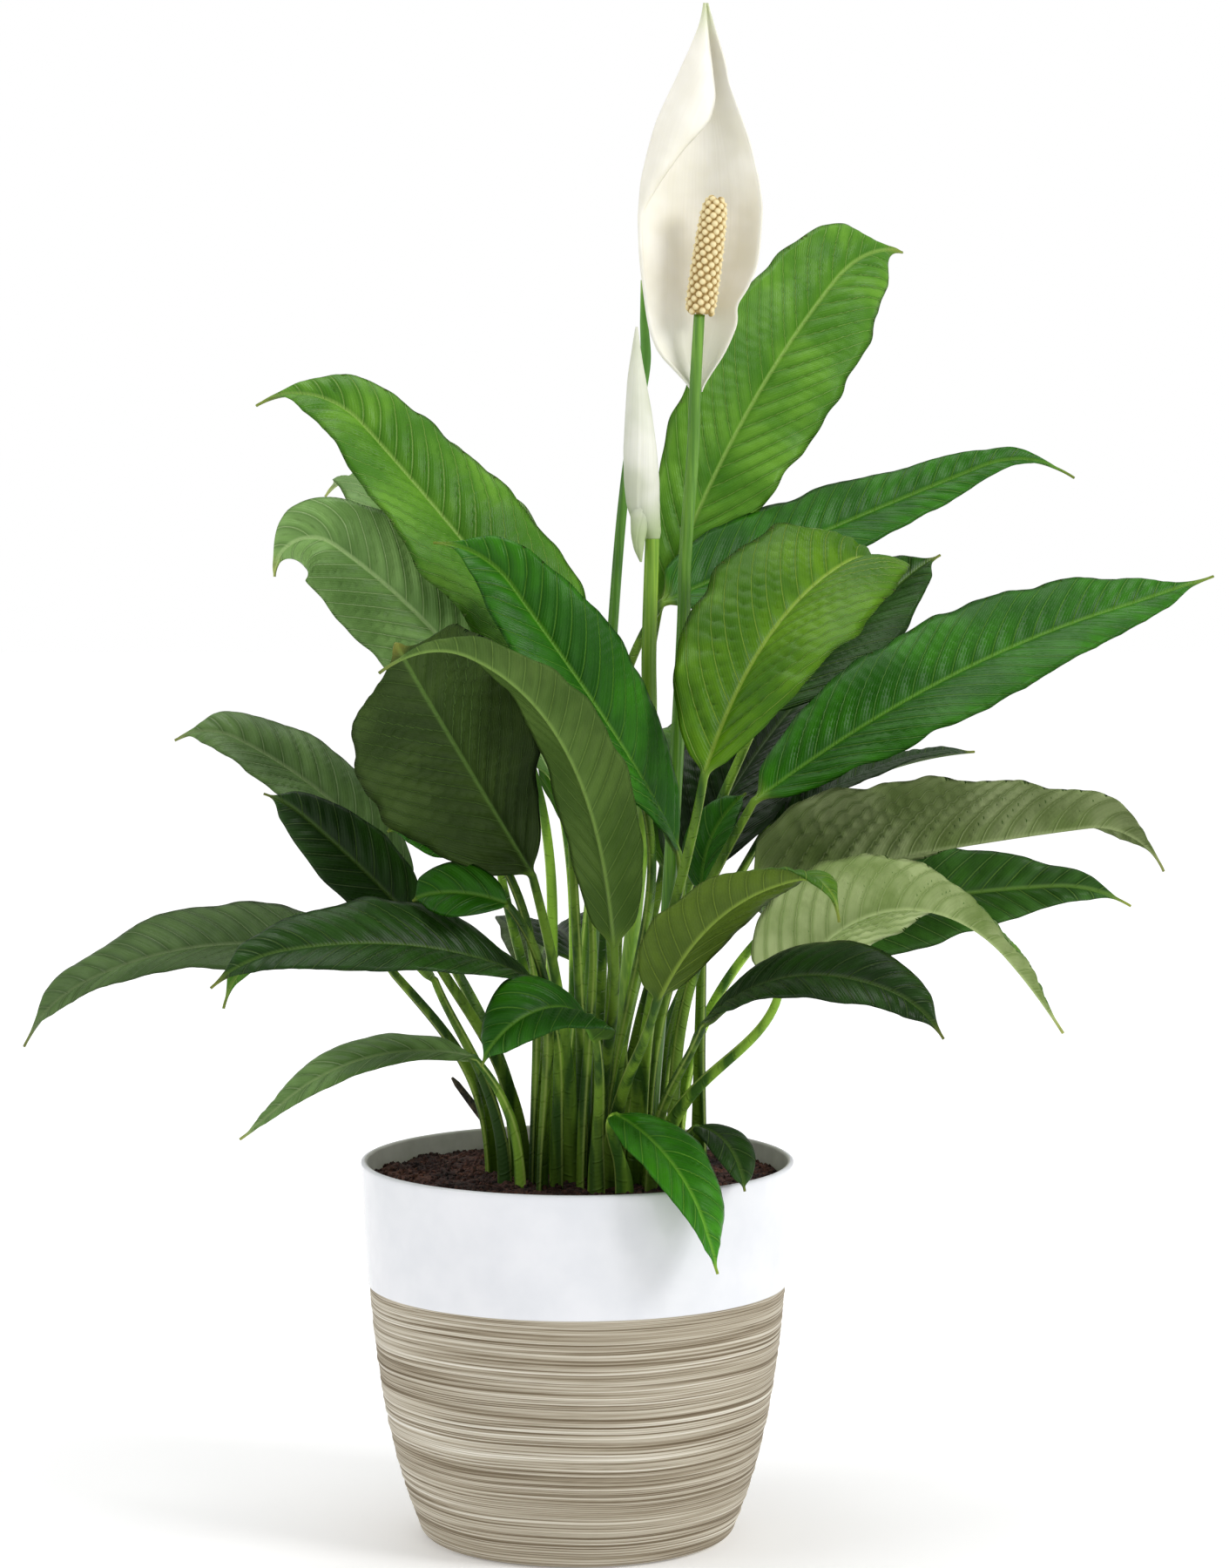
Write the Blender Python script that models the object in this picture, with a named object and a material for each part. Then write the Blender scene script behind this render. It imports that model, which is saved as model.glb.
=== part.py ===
"""Potted peace lily: a clump of arching leaves and three flower stems in a round two-tone planter.

+Z is up. The origin is the middle of the planter's flat underside, so the plant stands on z = 0.
Every leaf and stem grows from its own seat in the root crown, which sits in the potting mix.
"""

import math
from collections import namedtuple

import bmesh
import bpy
import numpy as np

MM = 0.001
GAP = 0.3 * MM  # between pieces that touch

# Planter: a moulded shell, with a straight band standing just proud of a tapering ribbed body
RIM_RADIUS = 87.5 * MM
POT_HEIGHT = 153.5 * MM
BAND_FOOT_RADIUS = 85.0 * MM
BAND_FOOT_HEIGHT = 103.7 * MM
BAND_STEP = 0.6 * MM
BELLY_RADIUS = 79.8 * MM  # pulls the body's curve outwards
BELLY_HEIGHT = 41 * MM
FOOT_RADIUS = 64.2 * MM
FOOT_HEIGHT = 4.7 * MM
UNDERSIDE_RADIUS = 57 * MM
CORNER_INSET = 1.6 * MM
CORNER_LIFT = 0.2 * MM
WALL = 2.6 * MM
FLOOR = 3 * MM
POT_SEGMENTS = 48

# Potting mix, and the root crown buried in its middle
MIX_EDGE_LEVEL = 145.0 * MM
MIX_MIDDLE_LEVEL = 147.0 * MM
MIX_MIDDLE_RADIUS = 58 * MM
CROWN_X = 8 * MM
CROWN_Y = -2 * MM
CROWN_RADIUS = 48 * MM
CROWN_TOP = 146.0 * MM
CROWN_DEPTH = 22 * MM
CROWN_SEGMENTS = 32

# Seats: rings round the crown's middle, with six more seats in each ring than in the one inside it
SEAT_SPACING = 10.5 * MM
SEAT_DEPTH = 10 * MM
SEAT_CLEARANCE = 0.4 * MM

# Leaves
STALK_FOOT_RADIUS = 2.9 * MM
STALK_NECK_RADIUS = 1.7 * MM
STALK_STEPS = 5
STALK_RISE = 0.45  # how far the stalk keeps going straight up, as a share of its reach
STALK_APPROACH = 0.3
STALK_LIFT = 0.8  # how much steeper than the blade the stalk arrives at the knee
RING_SIDES = 8
BLADE_STATIONS = (0.0, 0.06, 0.17, 0.31, 0.46, 0.61, 0.76, 0.89, 1.0)
BLADE_THICKNESS = 0.8 * MM
MIDRIB_DEPTH = 1.5 * MM
MIDRIB_SWELL_POWER = 4  # how quickly the stalk's girth fades into the midrib
MIDRIB_THINNING = 0.5
BLADE_CROWN = 0.08  # how far each half arches up, as a share of its width
TIP_HALF_WIDTH = 0.6 * MM
OUTLINE_POWER = 1.6
CURL_START = 0.78
DROOP_POWER = 1.2
MIDRIB_STEPS = 60

# One row for each leaf. The knee, where the stalk meets the blade, is in millimetres. The midrib sets
# off along the heading at the climb angle, loses the droop angle on its way to the tip and turns by the
# sweep, and its last fifth bends down by the curl. Roll turns the blade about its midrib, twist adds to
# it on the way to the tip, and fold lifts the two halves. Angles are in degrees, sizes in millimetres.
Leaf = namedtuple("Leaf", "name seat knee heading climb droop sweep curl length width widest roll twist fold tone")
LEAVES = (
    # Left side, from the top down
    Leaf("upper_left", (1, 5), (25, -55, 309), -165, 57, 14, -40, 70, 228, 62, 0.44, 54, -20, 12, "fresh"),
    Leaf("back_strip", (1, 3), (0, 8, 344), 180, 60, 20, -10, 40, 150, 50, 0.42, 44, 0, 10, "grey"),
    Leaf("pale_tipped", (2, 10), (40, -64, 284), -126, 55, 0, -75, 55, 165, 50, 0.42, 62, 0, 16, "bright"),
    Leaf("grey_left", (2, 6), (-18, 0, 312), -180, 60, 35, -10, 115, 155, 54, 0.5, 66, 0, 10, "grey"),
    Leaf("left_back_lobe", (2, 4), (-9, 60, 300), 130, 50, 15, 0, 75, 212, 50, 0.52, 16, 0, 10, "grey"),
    Leaf("big_underside", (2, 8), (-17, -55, 274), -119, 43, 5, 6, -3, 148, 76, 0.58, -58, 0, 8, "deep"),
    Leaf("long_arching", (2, 9), (15, -88, 249), -111, 78, 79, -29, 30, 203, 36, 0.32, -16, 0, 30, "fresh"),
    Leaf("dark_behind_arch", (1, 4), (-2, -48, 296), -150, 85, 90, -30, 20, 105, 46, 0.42, 10, 0, 15, "deep"),
    Leaf("mid_left", (3, 9), (-66, 0, 264), 155, 47, 30, 15, 45, 124, 40, 0.5, 32, 0, 12, "grey"),
    Leaf("dark_left", (3, 10), (-62, -40, 252), -165, 48, 10, -20, 20, 82, 32, 0.42, 68, 0, 8, "deep"),
    Leaf("lowest_left", (4, 12), (-75, -15, 233), 165, 15, 58, 5, 20, 170, 40, 0.42, 36, 0, 14, "grey"),
    Leaf("left_front", (3, 12), (-15, -62, 233), -135, 25, 45, -40, 22, 145, 42, 0.46, 34, 0, 12, "deep"),
    Leaf("left_strip", (4, 14), (-56, -36, 231), -130, 40, 86, -20, 30, 120, 26, 0.42, 24, 0, 10, "fresh"),
    Leaf("lowest_left_small", (4, 15), (-40, -38, 200), -155, 15, 75, -20, -25, 105, 26, 0.42, 22, 0, 10, "grey"),
    Leaf("front_glossy", (4, 18), (8, -66, 211), -110, 50, 120, -55, -5, 76, 38, 0.42, 28, 0, 10, "bright"),
    Leaf("left_lobe", (3, 11), (-31, -63, 285), -165, 35, 50, 0, 10, 46, 32, 0.52, 52, 0, 10, "bright"),
    Leaf("left_lobe_low", (4, 16), (-26, -82, 266), -176, 22, 40, 0, 10, 38, 26, 0.52, 50, 0, 10, "bright"),
    # Right side, from the top down
    Leaf("tall_right", (1, 1), (33, 45, 373), 29, 67, 34, 18, 42, 212, 60, 0.53, -58, 0, 12, "fresh"),
    Leaf("twisted_right", (1, 0), (34, 20, 377), 31, 20, 1, -11, 51, 205, 40, 0.28, -45, 0, 15, "bright"),
    Leaf("front_olive", (3, 15), (49, -95, 316), 45, 65, 65, 5, 60, 155, 70, 0.52, -20, 0, 12, "olive"),
    Leaf("behind_olive", (2, 1), (74, 15, 333), 40, 33, -2, -4, 13, 115, 46, 0.42, -28, 0, 12, "deep"),
    Leaf("right_long", (2, 11), (70, -30, 301), 18, 34, 26, 4, -9, 221, 54, 0.42, -38, 0, 12, "bright"),
    Leaf("right_underside", (3, 17), (68, -35, 269), -12, 13, 8, 15, 72, 173, 66, 0.32, 38, 0, 30, "pale"),
    Leaf("right_pale_low", (3, 16), (79, -56, 227), -42, 54, 124, -5, -22, 171, 56, 0.3, 32, 0, 20, "pale"),
    Leaf("right_dark_wide", (3, 0), (76, 0, 246), 0, 14, 15, 0, 30, 150, 48, 0.27, -60, 0, 10, "deep"),
    Leaf("right_low_dark", (4, 20), (49, -80, 219), -50, 38, 75, 25, 20, 125, 34, 0.48, -36, 0, 12, "deep"),
    Leaf("right_curled_tip", (3, 14), (31, -92, 230), -60, 50, 50, 20, 85, 130, 42, 0.42, 10, 0, 12, "olive"),
    Leaf("deep_back_right", (2, 2), (42, 40, 262), 55, 45, 25, 5, 25, 140, 56, 0.42, -20, 0, 15, "deep"),
    Leaf("thin_back_right", (3, 2), (78, 60, 282), 35, 25, 25, 0, 0, 115, 40, 0.42, 0, 0, 12, "deep"),
    Leaf("hanging_front", (4, 19), (15, -55, 180), -55, -10, 80, 25, -20, 85, 34, 0.42, -4, 0, 10, "bright"),
    Leaf("small_hanging_right", (4, 21), (47, -48, 174), -45, 0, 80, -15, -10, 40, 20, 0.42, -4, 0, 8, "deep"),
    # Young leaves in the middle
    Leaf("young_right", (4, 23), (50, -16, 264), 20, 90, 60, 5, -10, 45, 26, 0.42, -20, 0, 10, "bright"),
    Leaf("young_left", (3, 13), (6, -54, 262), -160, 80, 10, 0, 5, 38, 16, 0.42, 20, 0, 30, "bright"),
    # Round the back
    Leaf("back_centre", (2, 3), (10, 55, 270), 95, 55, 60, 5, 30, 150, 58, 0.42, 0, 0, 15, "fresh"),
    Leaf("back_left", (2, 5), (-32, 38, 268), 110, 40, 55, 5, 30, 140, 56, 0.42, 10, 0, 15, "deep"),
    Leaf("back_right", (3, 4), (35, 60, 265), 70, 45, 60, -5, 30, 150, 58, 0.42, -10, 0, 15, "fresh"),
    Leaf("back_low", (3, 5), (0, 60, 225), 100, 20, 70, 0, 20, 130, 50, 0.42, 4, 0, 15, "deep"),
    Leaf("back_low_right", (3, 3), (50, 65, 235), 75, 25, 60, -5, 20, 120, 48, 0.42, -4, 0, 15, "deep"),
)

# Flower stems: seat, then the points that each stem passes through on its way up, in millimetres
Stem = namedtuple("Stem", "name seat points foot_radius top_radius")
STEM_STEPS = 3  # between one point and the next
STEMS = (
    Stem(
        "flower_stem_open",
        (2, 0),
        ((36, -8, 250), (42, -12, 361), (43, -12, 396), (46, -12, 438), (47, -12, 466), (48.5, -12, 493)),
        3.0 * MM,
        2.2 * MM,
    ),
    Stem(
        "flower_stem_closed",
        (0, 0),
        ((20, -18, 230), (28, -29, 315), (28.5, -30, 360), (29.5, -30, 395), (30, -30, 409)),
        3.2 * MM,
        2.8 * MM,
    ),
    Stem(
        "flower_stem_green",
        (1, 2),
        ((8, 13, 270), (15, 15, 378), (19, 15, 424), (23, 15, 452)),
        2.4 * MM,
        1.8 * MM,
    ),
)

# Open spathe: its midrib rises behind the stem and bows backwards
SPATHE_BASE = (47.0, -8.0, 462.0)
SPATHE_BOW = (50.0, 14.0, 540.0)
SPATHE_TIP = (50.5, -10.0, 615.0)
SPATHE_WIDTH = 56 * MM
SPATHE_FOLD = math.radians(28)
SPATHE_WIDEST_AT = 0.46
SPATHE_OUTLINE_POWER = 1.35
SPATHE_STATIONS = 11
SPATHE_NECK_HALF_WIDTH = 2 * MM

# Spindle shapes: (centre, radius) along the length, in millimetres
SPADIX_RADIUS = 5.9
SPADIX_FOOT = (48.7, -12.0, 493.5)
SPADIX_TOP = (55.0, -12.0, 538.5)
SPADIX_OUTLINE = ((0.0, 0.86), (0.06, 0.97), (0.3, 1.0), (0.65, 0.93), (0.88, 0.8), (0.97, 0.58), (1.0, 0.25))
SPINDLE_SIDES = 12
CLOSED_SPATHE = (
    ((25.5, -34.0, 396.0), 0.8),
    ((24.6, -33.6, 402.0), 2.2),
    ((24.6, -32.6, 409.4), 3.4),
    ((26.6, -30.0, 411.0), 6.3),
    ((26.0, -30.0, 425.0), 7.0),
    ((25.3, -30.0, 440.0), 6.6),
    ((24.6, -30.0, 455.0), 5.2),
    ((23.8, -30.0, 468.0), 3.6),
    ((23.6, -30.0, 479.0), 1.8),
    ((23.7, -30.0, 488.0), 0.5),
)
GREEN_BUD = (
    ((23.2, 15.0, 452.5), 1.7),
    ((26.0, 15.0, 464.0), 2.3),
    ((27.6, 15.0, 476.0), 2.2),
    ((27.0, 15.0, 490.0), 1.7),
    ((26.0, 15.0, 507.0), 0.5),
)
DRY_STALK_SEAT = (3, 7)
DRY_STALK_FOOT_RADIUS = 2.0
DRY_STALK = (((-27, 8, 156), 2.0), ((-38, 10, 168), 1.9), ((-51, 10, 185), 1.1))

COLOURS = {
    "fresh": (0.10, 0.24, 0.035),
    "bright": (0.05, 0.19, 0.012),
    "olive": (0.14, 0.26, 0.02),
    "grey": (0.13, 0.20, 0.07),
    "pale": (0.24, 0.32, 0.13),
    "deep": (0.022, 0.05, 0.010),
}
PLANTER_COLOUR = (0.80, 0.80, 0.82)
MIX_COLOUR = (0.024, 0.012, 0.010)
CROWN_COLOUR = (0.06, 0.04, 0.02)
STEM_COLOUR = (0.12, 0.28, 0.03)
SPATHE_COLOUR = (0.78, 0.76, 0.66)
CLOSED_SPATHE_COLOUR = (0.70, 0.70, 0.58)
SPADIX_COLOUR = (0.62, 0.47, 0.22)
GREEN_BUD_COLOUR = (0.09, 0.22, 0.03)
DRY_STALK_COLOUR = (0.03, 0.02, 0.015)
CUTTER_COLOUR = (0.5, 0.5, 0.5)


def material(name, colour, roughness):
    made = bpy.data.materials.new(name)
    made.use_nodes = True
    shader = made.node_tree.nodes["Principled BSDF"]
    shader.inputs["Base Color"].default_value = (*colour, 1)
    shader.inputs["Roughness"].default_value = roughness
    shader.inputs["Metallic"].default_value = 0
    return made


def add_object(name, points, faces, colour, roughness):
    mesh = bpy.data.meshes.new(name)
    mesh.from_pydata([tuple(point) for point in points], [], faces)
    mesh.shade_smooth()
    mesh.set_sharp_from_angle(angle=math.radians(40))
    mesh.materials.append(material(name, colour, roughness))
    made = bpy.data.objects.new(name, mesh)
    bpy.context.scene.collection.objects.link(made)
    return made


def skin(name, rings, colour, roughness):
    """A closed solid through a row of rings, each with the same number of points."""
    sides = len(rings[0])
    points = np.concatenate(rings)
    faces = [tuple(range(sides))]
    for ring in range(len(rings) - 1):
        first = ring * sides
        for side in range(sides):
            after = (side + 1) % sides
            faces.append((first + after, first + side, first + sides + side, first + sides + after))
    last = (len(rings) - 1) * sides
    faces.append(tuple(range(last, last + sides))[::-1])
    return add_object(name, points, faces, colour, roughness)


def turned(name, outline, segments, colour, roughness):
    """A solid of revolution about Z. The outline runs from the axis, up the outside, and back to the axis."""
    mesh = bmesh.new()
    points = [mesh.verts.new((radius, 0, height)) for radius, height in outline]
    edges = [mesh.edges.new(pair) for pair in zip(points[:-1], points[1:])]
    bmesh.ops.spin(
        mesh, geom=points + edges, cent=(0, 0, 0), axis=(0, 0, 1), angle=math.tau, steps=segments
    )
    bmesh.ops.remove_doubles(mesh, verts=mesh.verts, dist=0.01 * MM)
    bmesh.ops.recalc_face_normals(mesh, faces=mesh.faces)
    made = add_object(name, [], [], colour, roughness)
    mesh.to_mesh(made.data)
    mesh.free()
    made.data.shade_smooth()
    made.data.set_sharp_from_angle(angle=math.radians(40))
    return made


def unit(vector):
    return vector / np.linalg.norm(vector)


def bend(start, pull, end, steps):
    """Points along a quadratic curve."""
    share = np.linspace(0, 1, steps + 1)[:, None]
    start, pull, end = np.array(start), np.array(pull), np.array(end)
    return (1 - share) ** 2 * start + 2 * share * (1 - share) * pull + share**2 * end


def seat_place(seat):
    ring, slot = seat
    angle = math.tau * slot / (6 * ring) if ring else 0
    reach = ring * SEAT_SPACING
    return np.array((CROWN_X + reach * math.cos(angle), CROWN_Y + reach * math.sin(angle), CROWN_TOP))


def tangents(path):
    return np.array([unit(step) for step in np.gradient(path, axis=0)])


def round_ring(centre, side, normal, radius, sides=RING_SIDES):
    angles = math.tau * np.arange(sides) / sides
    return centre + radius * (np.cos(angles)[:, None] * side + np.sin(angles)[:, None] * normal)


def tube_rings(path, radii, side, sides=RING_SIDES):
    """Round rings square to a path, with their first point kept towards one side."""
    rings = []
    for centre, tangent, radius in zip(path, tangents(path), radii):
        across = unit(side - tangent * np.dot(side, tangent))
        rings.append(round_ring(centre, across, np.cross(across, tangent), radius, sides))
    return rings


def sheet_ring(centre, side, normal, half_width, fold, rib):
    """One cross-section of a folded blade: edges, arched halves, and a rib under the middle."""
    out = half_width * math.cos(fold)
    up = half_width * math.sin(fold)
    arch = half_width * BLADE_CROWN
    half = BLADE_THICKNESS / 2
    section = (
        (out, up),
        (out / 2, up / 2 + arch + half),
        (0, half),
        (-out / 2, up / 2 + arch + half),
        (-out, up),
        (-out / 2, up / 2 + arch - half),
        (0, half - rib),
        (out / 2, up / 2 + arch - half),
    )
    return np.array([centre + side * across + normal * lift for across, lift in section])


def outline(share, width, widest_at, power):
    """Half width of a blade that is widest at one place and comes to a point at each end."""
    rise = (share / widest_at) ** (widest_at * power)
    fall = ((1 - share) / (1 - widest_at)) ** ((1 - widest_at) * power)
    return width / 2 * rise * fall


def midrib(leaf):
    """Points, tangents, and sideways and upward directions of a leaf's blade at its stations."""
    share = (np.arange(MIDRIB_STEPS) + 0.5) / MIDRIB_STEPS
    curled = np.clip((share - CURL_START) / (1 - CURL_START), 0, 1)
    rise = np.radians(leaf.climb - leaf.droop * share**DROOP_POWER - leaf.curl * curled)
    bearing = np.radians(leaf.heading + leaf.sweep * share)
    steps = np.stack((np.cos(rise) * np.cos(bearing), np.cos(rise) * np.sin(bearing), np.sin(rise)), axis=1)
    run = np.concatenate((np.zeros((1, 3)), np.cumsum(steps, axis=0))) * leaf.length * MM / MIDRIB_STEPS
    along = np.linspace(0, 1, MIDRIB_STEPS + 1)
    stations = []
    for station in BLADE_STATIONS:
        place = np.array([np.interp(station, along, run[:, axis]) for axis in range(3)])
        tangent = unit(np.array([np.interp(station, share, steps[:, axis]) for axis in range(3)]))
        turn = np.interp(station, share, bearing)
        side = np.array((math.sin(turn), -math.cos(turn), 0))
        normal = np.cross(side, tangent)
        roll = math.radians(leaf.roll + leaf.twist * station)
        across = side * math.cos(roll) + normal * math.sin(roll)
        upward = normal * math.cos(roll) - side * math.sin(roll)
        stations.append((np.array(leaf.knee) * MM + place, tangent, across, upward))
    return stations


def build_leaf(leaf):
    """A stalk that rises from its seat, and the blade that it carries, as one solid."""
    stations = midrib(leaf)
    seat = seat_place(leaf.seat)
    knee, setting_off, across, _ = stations[0]
    reach = np.linalg.norm(knee - seat)
    arrival = unit(setting_off + np.array((0, 0, STALK_LIFT)))
    rising = seat + np.array((0, 0, STALK_RISE * reach))
    arriving = knee - arrival * STALK_APPROACH * reach
    share = np.linspace(0, 1, STALK_STEPS + 1)[:-1, None]
    stalk = (
        (1 - share) ** 3 * seat
        + 3 * share * (1 - share) ** 2 * rising
        + 3 * share**2 * (1 - share) * arriving
        + share**3 * knee
    )
    foot = seat - np.array((0, 0, SEAT_DEPTH - GAP))
    path = np.concatenate(([foot], stalk))
    radii = np.interp(np.arange(len(path)), (0, len(path) - 1), (STALK_FOOT_RADIUS, STALK_NECK_RADIUS))
    rings = tube_rings(path, radii, across)
    fold = math.radians(leaf.fold)
    for station, (centre, _, sideways, upward) in zip(BLADE_STATIONS, stations):
        half_width = outline(station, leaf.width * MM, leaf.widest, OUTLINE_POWER)
        half_width = max(half_width, STALK_NECK_RADIUS * (1 - station), TIP_HALF_WIDTH)
        swell = (STALK_NECK_RADIUS - MIDRIB_DEPTH / 2) * (1 - station) ** MIDRIB_SWELL_POWER
        rib = (MIDRIB_DEPTH + swell) * (1 - MIDRIB_THINNING * station)
        rings.append(sheet_ring(centre, sideways, upward, half_width, fold, rib))
    skin("leaf_" + leaf.name, rings, COLOURS[leaf.tone], 0.38)


def build_stem(stem):
    """A flower stem along a smooth curve through its points."""
    seat = seat_place(stem.seat)
    knots = np.array([seat, *(np.array(point) * MM for point in stem.points)])
    slopes = np.gradient(knots, axis=0)
    slopes[0] = (0, 0, np.linalg.norm(knots[1] - knots[0]))
    path = [seat - np.array((0, 0, SEAT_DEPTH - GAP))]
    for start, end, leave, arrive in zip(knots[:-1], knots[1:], slopes[:-1], slopes[1:]):
        for share in np.arange(STEM_STEPS) / STEM_STEPS:
            path.append(
                (2 * share**3 - 3 * share**2 + 1) * start
                + (share**3 - 2 * share**2 + share) * leave
                + (3 * share**2 - 2 * share**3) * end
                + (share**3 - share**2) * arrive
            )
    path = np.array([*path, knots[-1]])
    radii = np.linspace(stem.foot_radius, stem.top_radius, len(path))
    skin(stem.name, tube_rings(path, radii, np.array((1.0, 0, 0))), STEM_COLOUR, 0.4)


def build_spindle(name, sections, colour, roughness):
    """A solid of round sections, each given by its centre and radius."""
    path = np.array([centre for centre, _ in sections]) * MM
    radii = np.array([radius for _, radius in sections]) * MM
    across, forward = np.array(((1, 0, 0), (0, -1, 0)))
    rings = [
        round_ring(centre, across, forward, radius, SPINDLE_SIDES) for centre, radius in zip(path, radii)
    ]
    skin(name, rings, colour, roughness)


def build_spathe():
    """The open white spathe: one shallow folded sheet, open towards -Y."""
    path = bend(SPATHE_BASE, SPATHE_BOW, SPATHE_TIP, SPATHE_STATIONS) * MM
    across = np.array((1.0, 0, 0))
    rings = []
    for share, centre, tangent in zip(np.linspace(0, 1, len(path)), path, tangents(path)):
        half_width = outline(share, SPATHE_WIDTH, SPATHE_WIDEST_AT, SPATHE_OUTLINE_POWER)
        side = unit(across - tangent * np.dot(across, tangent))
        forward = np.cross(side, tangent)
        half_width = max(half_width, SPATHE_NECK_HALF_WIDTH * (1 - share) + TIP_HALF_WIDTH)
        rings.append(sheet_ring(centre, side, forward, half_width, SPATHE_FOLD, BLADE_THICKNESS))
    skin("spathe_open", rings, SPATHE_COLOUR, 0.45)


def pot_outline():
    """The planter's outer side from the underside's edge to the rim."""
    pull = (FOOT_RADIUS - CORNER_INSET, CORNER_LIFT)
    corner = bend((UNDERSIDE_RADIUS, 0), pull, (FOOT_RADIUS, FOOT_HEIGHT), 3)
    body_top = (BAND_FOOT_RADIUS - BAND_STEP, BAND_FOOT_HEIGHT)
    body = bend((FOOT_RADIUS, FOOT_HEIGHT), (BELLY_RADIUS, BELLY_HEIGHT), body_top, 6)
    return [tuple(point) for point in (*corner, *body[1:])]


def inner_side(clearance, top):
    """The inside of the wall, from the floor's edge up to a level, moved in by a clearance."""
    thickness = WALL + clearance
    floor = FLOOR + clearance
    side = [(radius - thickness, height) for radius, height in pot_outline() if height > FLOOR + WALL]
    share = (top - BAND_FOOT_HEIGHT) / (POT_HEIGHT - BAND_FOOT_HEIGHT)
    top_radius = BAND_FOOT_RADIUS - BAND_STEP + share * (RIM_RADIUS + BAND_STEP - BAND_FOOT_RADIUS)
    return [(FOOT_RADIUS - thickness, floor), *side, (top_radius - thickness, top)]


def build_planter():
    outer = [(0, 0), *pot_outline(), (BAND_FOOT_RADIUS, BAND_FOOT_HEIGHT), (RIM_RADIUS, POT_HEIGHT)]
    inner = inner_side(0, POT_HEIGHT)[::-1]
    turned("planter", [*outer, *inner, (0, FLOOR)], POT_SEGMENTS, PLANTER_COLOUR, 0.25)


def build_mix():
    """The potting mix, with a pocket open at the top for the root crown."""
    outer = [(0, FLOOR + GAP), *inner_side(GAP, MIX_EDGE_LEVEL)]
    mix = turned(
        "potting_mix",
        [*outer, (MIX_MIDDLE_RADIUS, MIX_MIDDLE_LEVEL), (0, MIX_MIDDLE_LEVEL)],
        POT_SEGMENTS,
        MIX_COLOUR,
        0.95,
    )
    pocket = turned(
        "pocket_cutter",
        [
            (0, CROWN_TOP - CROWN_DEPTH - GAP),
            (CROWN_RADIUS + GAP, CROWN_TOP - CROWN_DEPTH - GAP),
            (CROWN_RADIUS + GAP, POT_HEIGHT),
            (0, POT_HEIGHT),
        ],
        CROWN_SEGMENTS,
        CUTTER_COLOUR,
        0.5,
    )
    pocket.location = (CROWN_X, CROWN_Y, 0)
    cut(mix, pocket)


def build_crown():
    """The woody root crown: a low drum with a socket for every leaf stalk and flower stem."""
    floor = CROWN_TOP - CROWN_DEPTH
    crown = turned(
        "root_crown",
        [(0, floor), (CROWN_RADIUS, floor), (CROWN_RADIUS, CROWN_TOP), (0, CROWN_TOP)],
        CROWN_SEGMENTS,
        CROWN_COLOUR,
        0.9,
    )
    crown.location = (CROWN_X, CROWN_Y, 0)
    seats = [(leaf.seat, STALK_FOOT_RADIUS) for leaf in LEAVES]
    seats += [(stem.seat, stem.foot_radius) for stem in STEMS]
    seats.append((DRY_STALK_SEAT, STALK_FOOT_RADIUS))
    points = []
    faces = []
    for seat, radius in seats:
        first = len(points)
        place = seat_place(seat)
        for height in (CROWN_TOP - SEAT_DEPTH, CROWN_TOP + SEAT_DEPTH):
            centre = np.array((place[0], place[1], height))
            ring = round_ring(centre, np.array((1, 0, 0)), np.array((0, 1, 0)), radius + SEAT_CLEARANCE)
            points.extend(ring)
        lower = range(first, first + RING_SIDES)
        upper = range(first + RING_SIDES, first + 2 * RING_SIDES)
        faces.append(tuple(lower)[::-1])
        faces.append(tuple(upper))
        for side in range(RING_SIDES):
            after = (side + 1) % RING_SIDES
            faces.append((lower[side], lower[after], upper[after], upper[side]))
    cut(crown, add_object("socket_cutter", points, faces, CUTTER_COLOUR, 0.5))


def cut(target, cutter):
    cutter.hide_render = True
    cutter.display_type = "WIRE"
    boolean = target.modifiers.new("cut", "BOOLEAN")
    boolean.operation = "DIFFERENCE"
    boolean.object = cutter


def build_spadix():
    foot = np.array(SPADIX_FOOT)
    rise = np.array(SPADIX_TOP) - foot
    sections = [(foot + rise * share, SPADIX_RADIUS * thickness) for share, thickness in SPADIX_OUTLINE]
    build_spindle("spadix", sections, SPADIX_COLOUR, 0.6)


def build_dry_stalk():
    """The brown stub of a stalk that has died back."""
    seat = seat_place(DRY_STALK_SEAT) / MM
    foot = seat - np.array((0, 0, (SEAT_DEPTH - GAP) / MM))
    sections = [(foot, DRY_STALK_FOOT_RADIUS), (seat, DRY_STALK_FOOT_RADIUS), *DRY_STALK]
    path = np.array([centre for centre, _ in sections]) * MM
    radii = np.array([radius for _, radius in sections]) * MM
    skin("dry_stalk", tube_rings(path, radii, np.array((0, 1.0, 0))), DRY_STALK_COLOUR, 0.9)


for old in list(bpy.data.objects):
    bpy.data.objects.remove(old)

build_planter()
build_mix()
build_crown()
for leaf in LEAVES:
    build_leaf(leaf)
for stem in STEMS:
    build_stem(stem)
build_spathe()
build_spadix()
build_spindle("spathe_closed", CLOSED_SPATHE, CLOSED_SPATHE_COLOUR, 0.45)
build_spindle("bud_green", GREEN_BUD, GREEN_BUD_COLOUR, 0.4)
build_dry_stalk()
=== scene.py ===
"""A potted peace lily with one open white flower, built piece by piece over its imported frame.

Lengths are in metres, +Z is up, and the origin is the middle of the planter's underside.
"""

import math
from collections import namedtuple

import bmesh
import bpy
import numpy as np
from mathutils import Matrix, Vector


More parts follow.
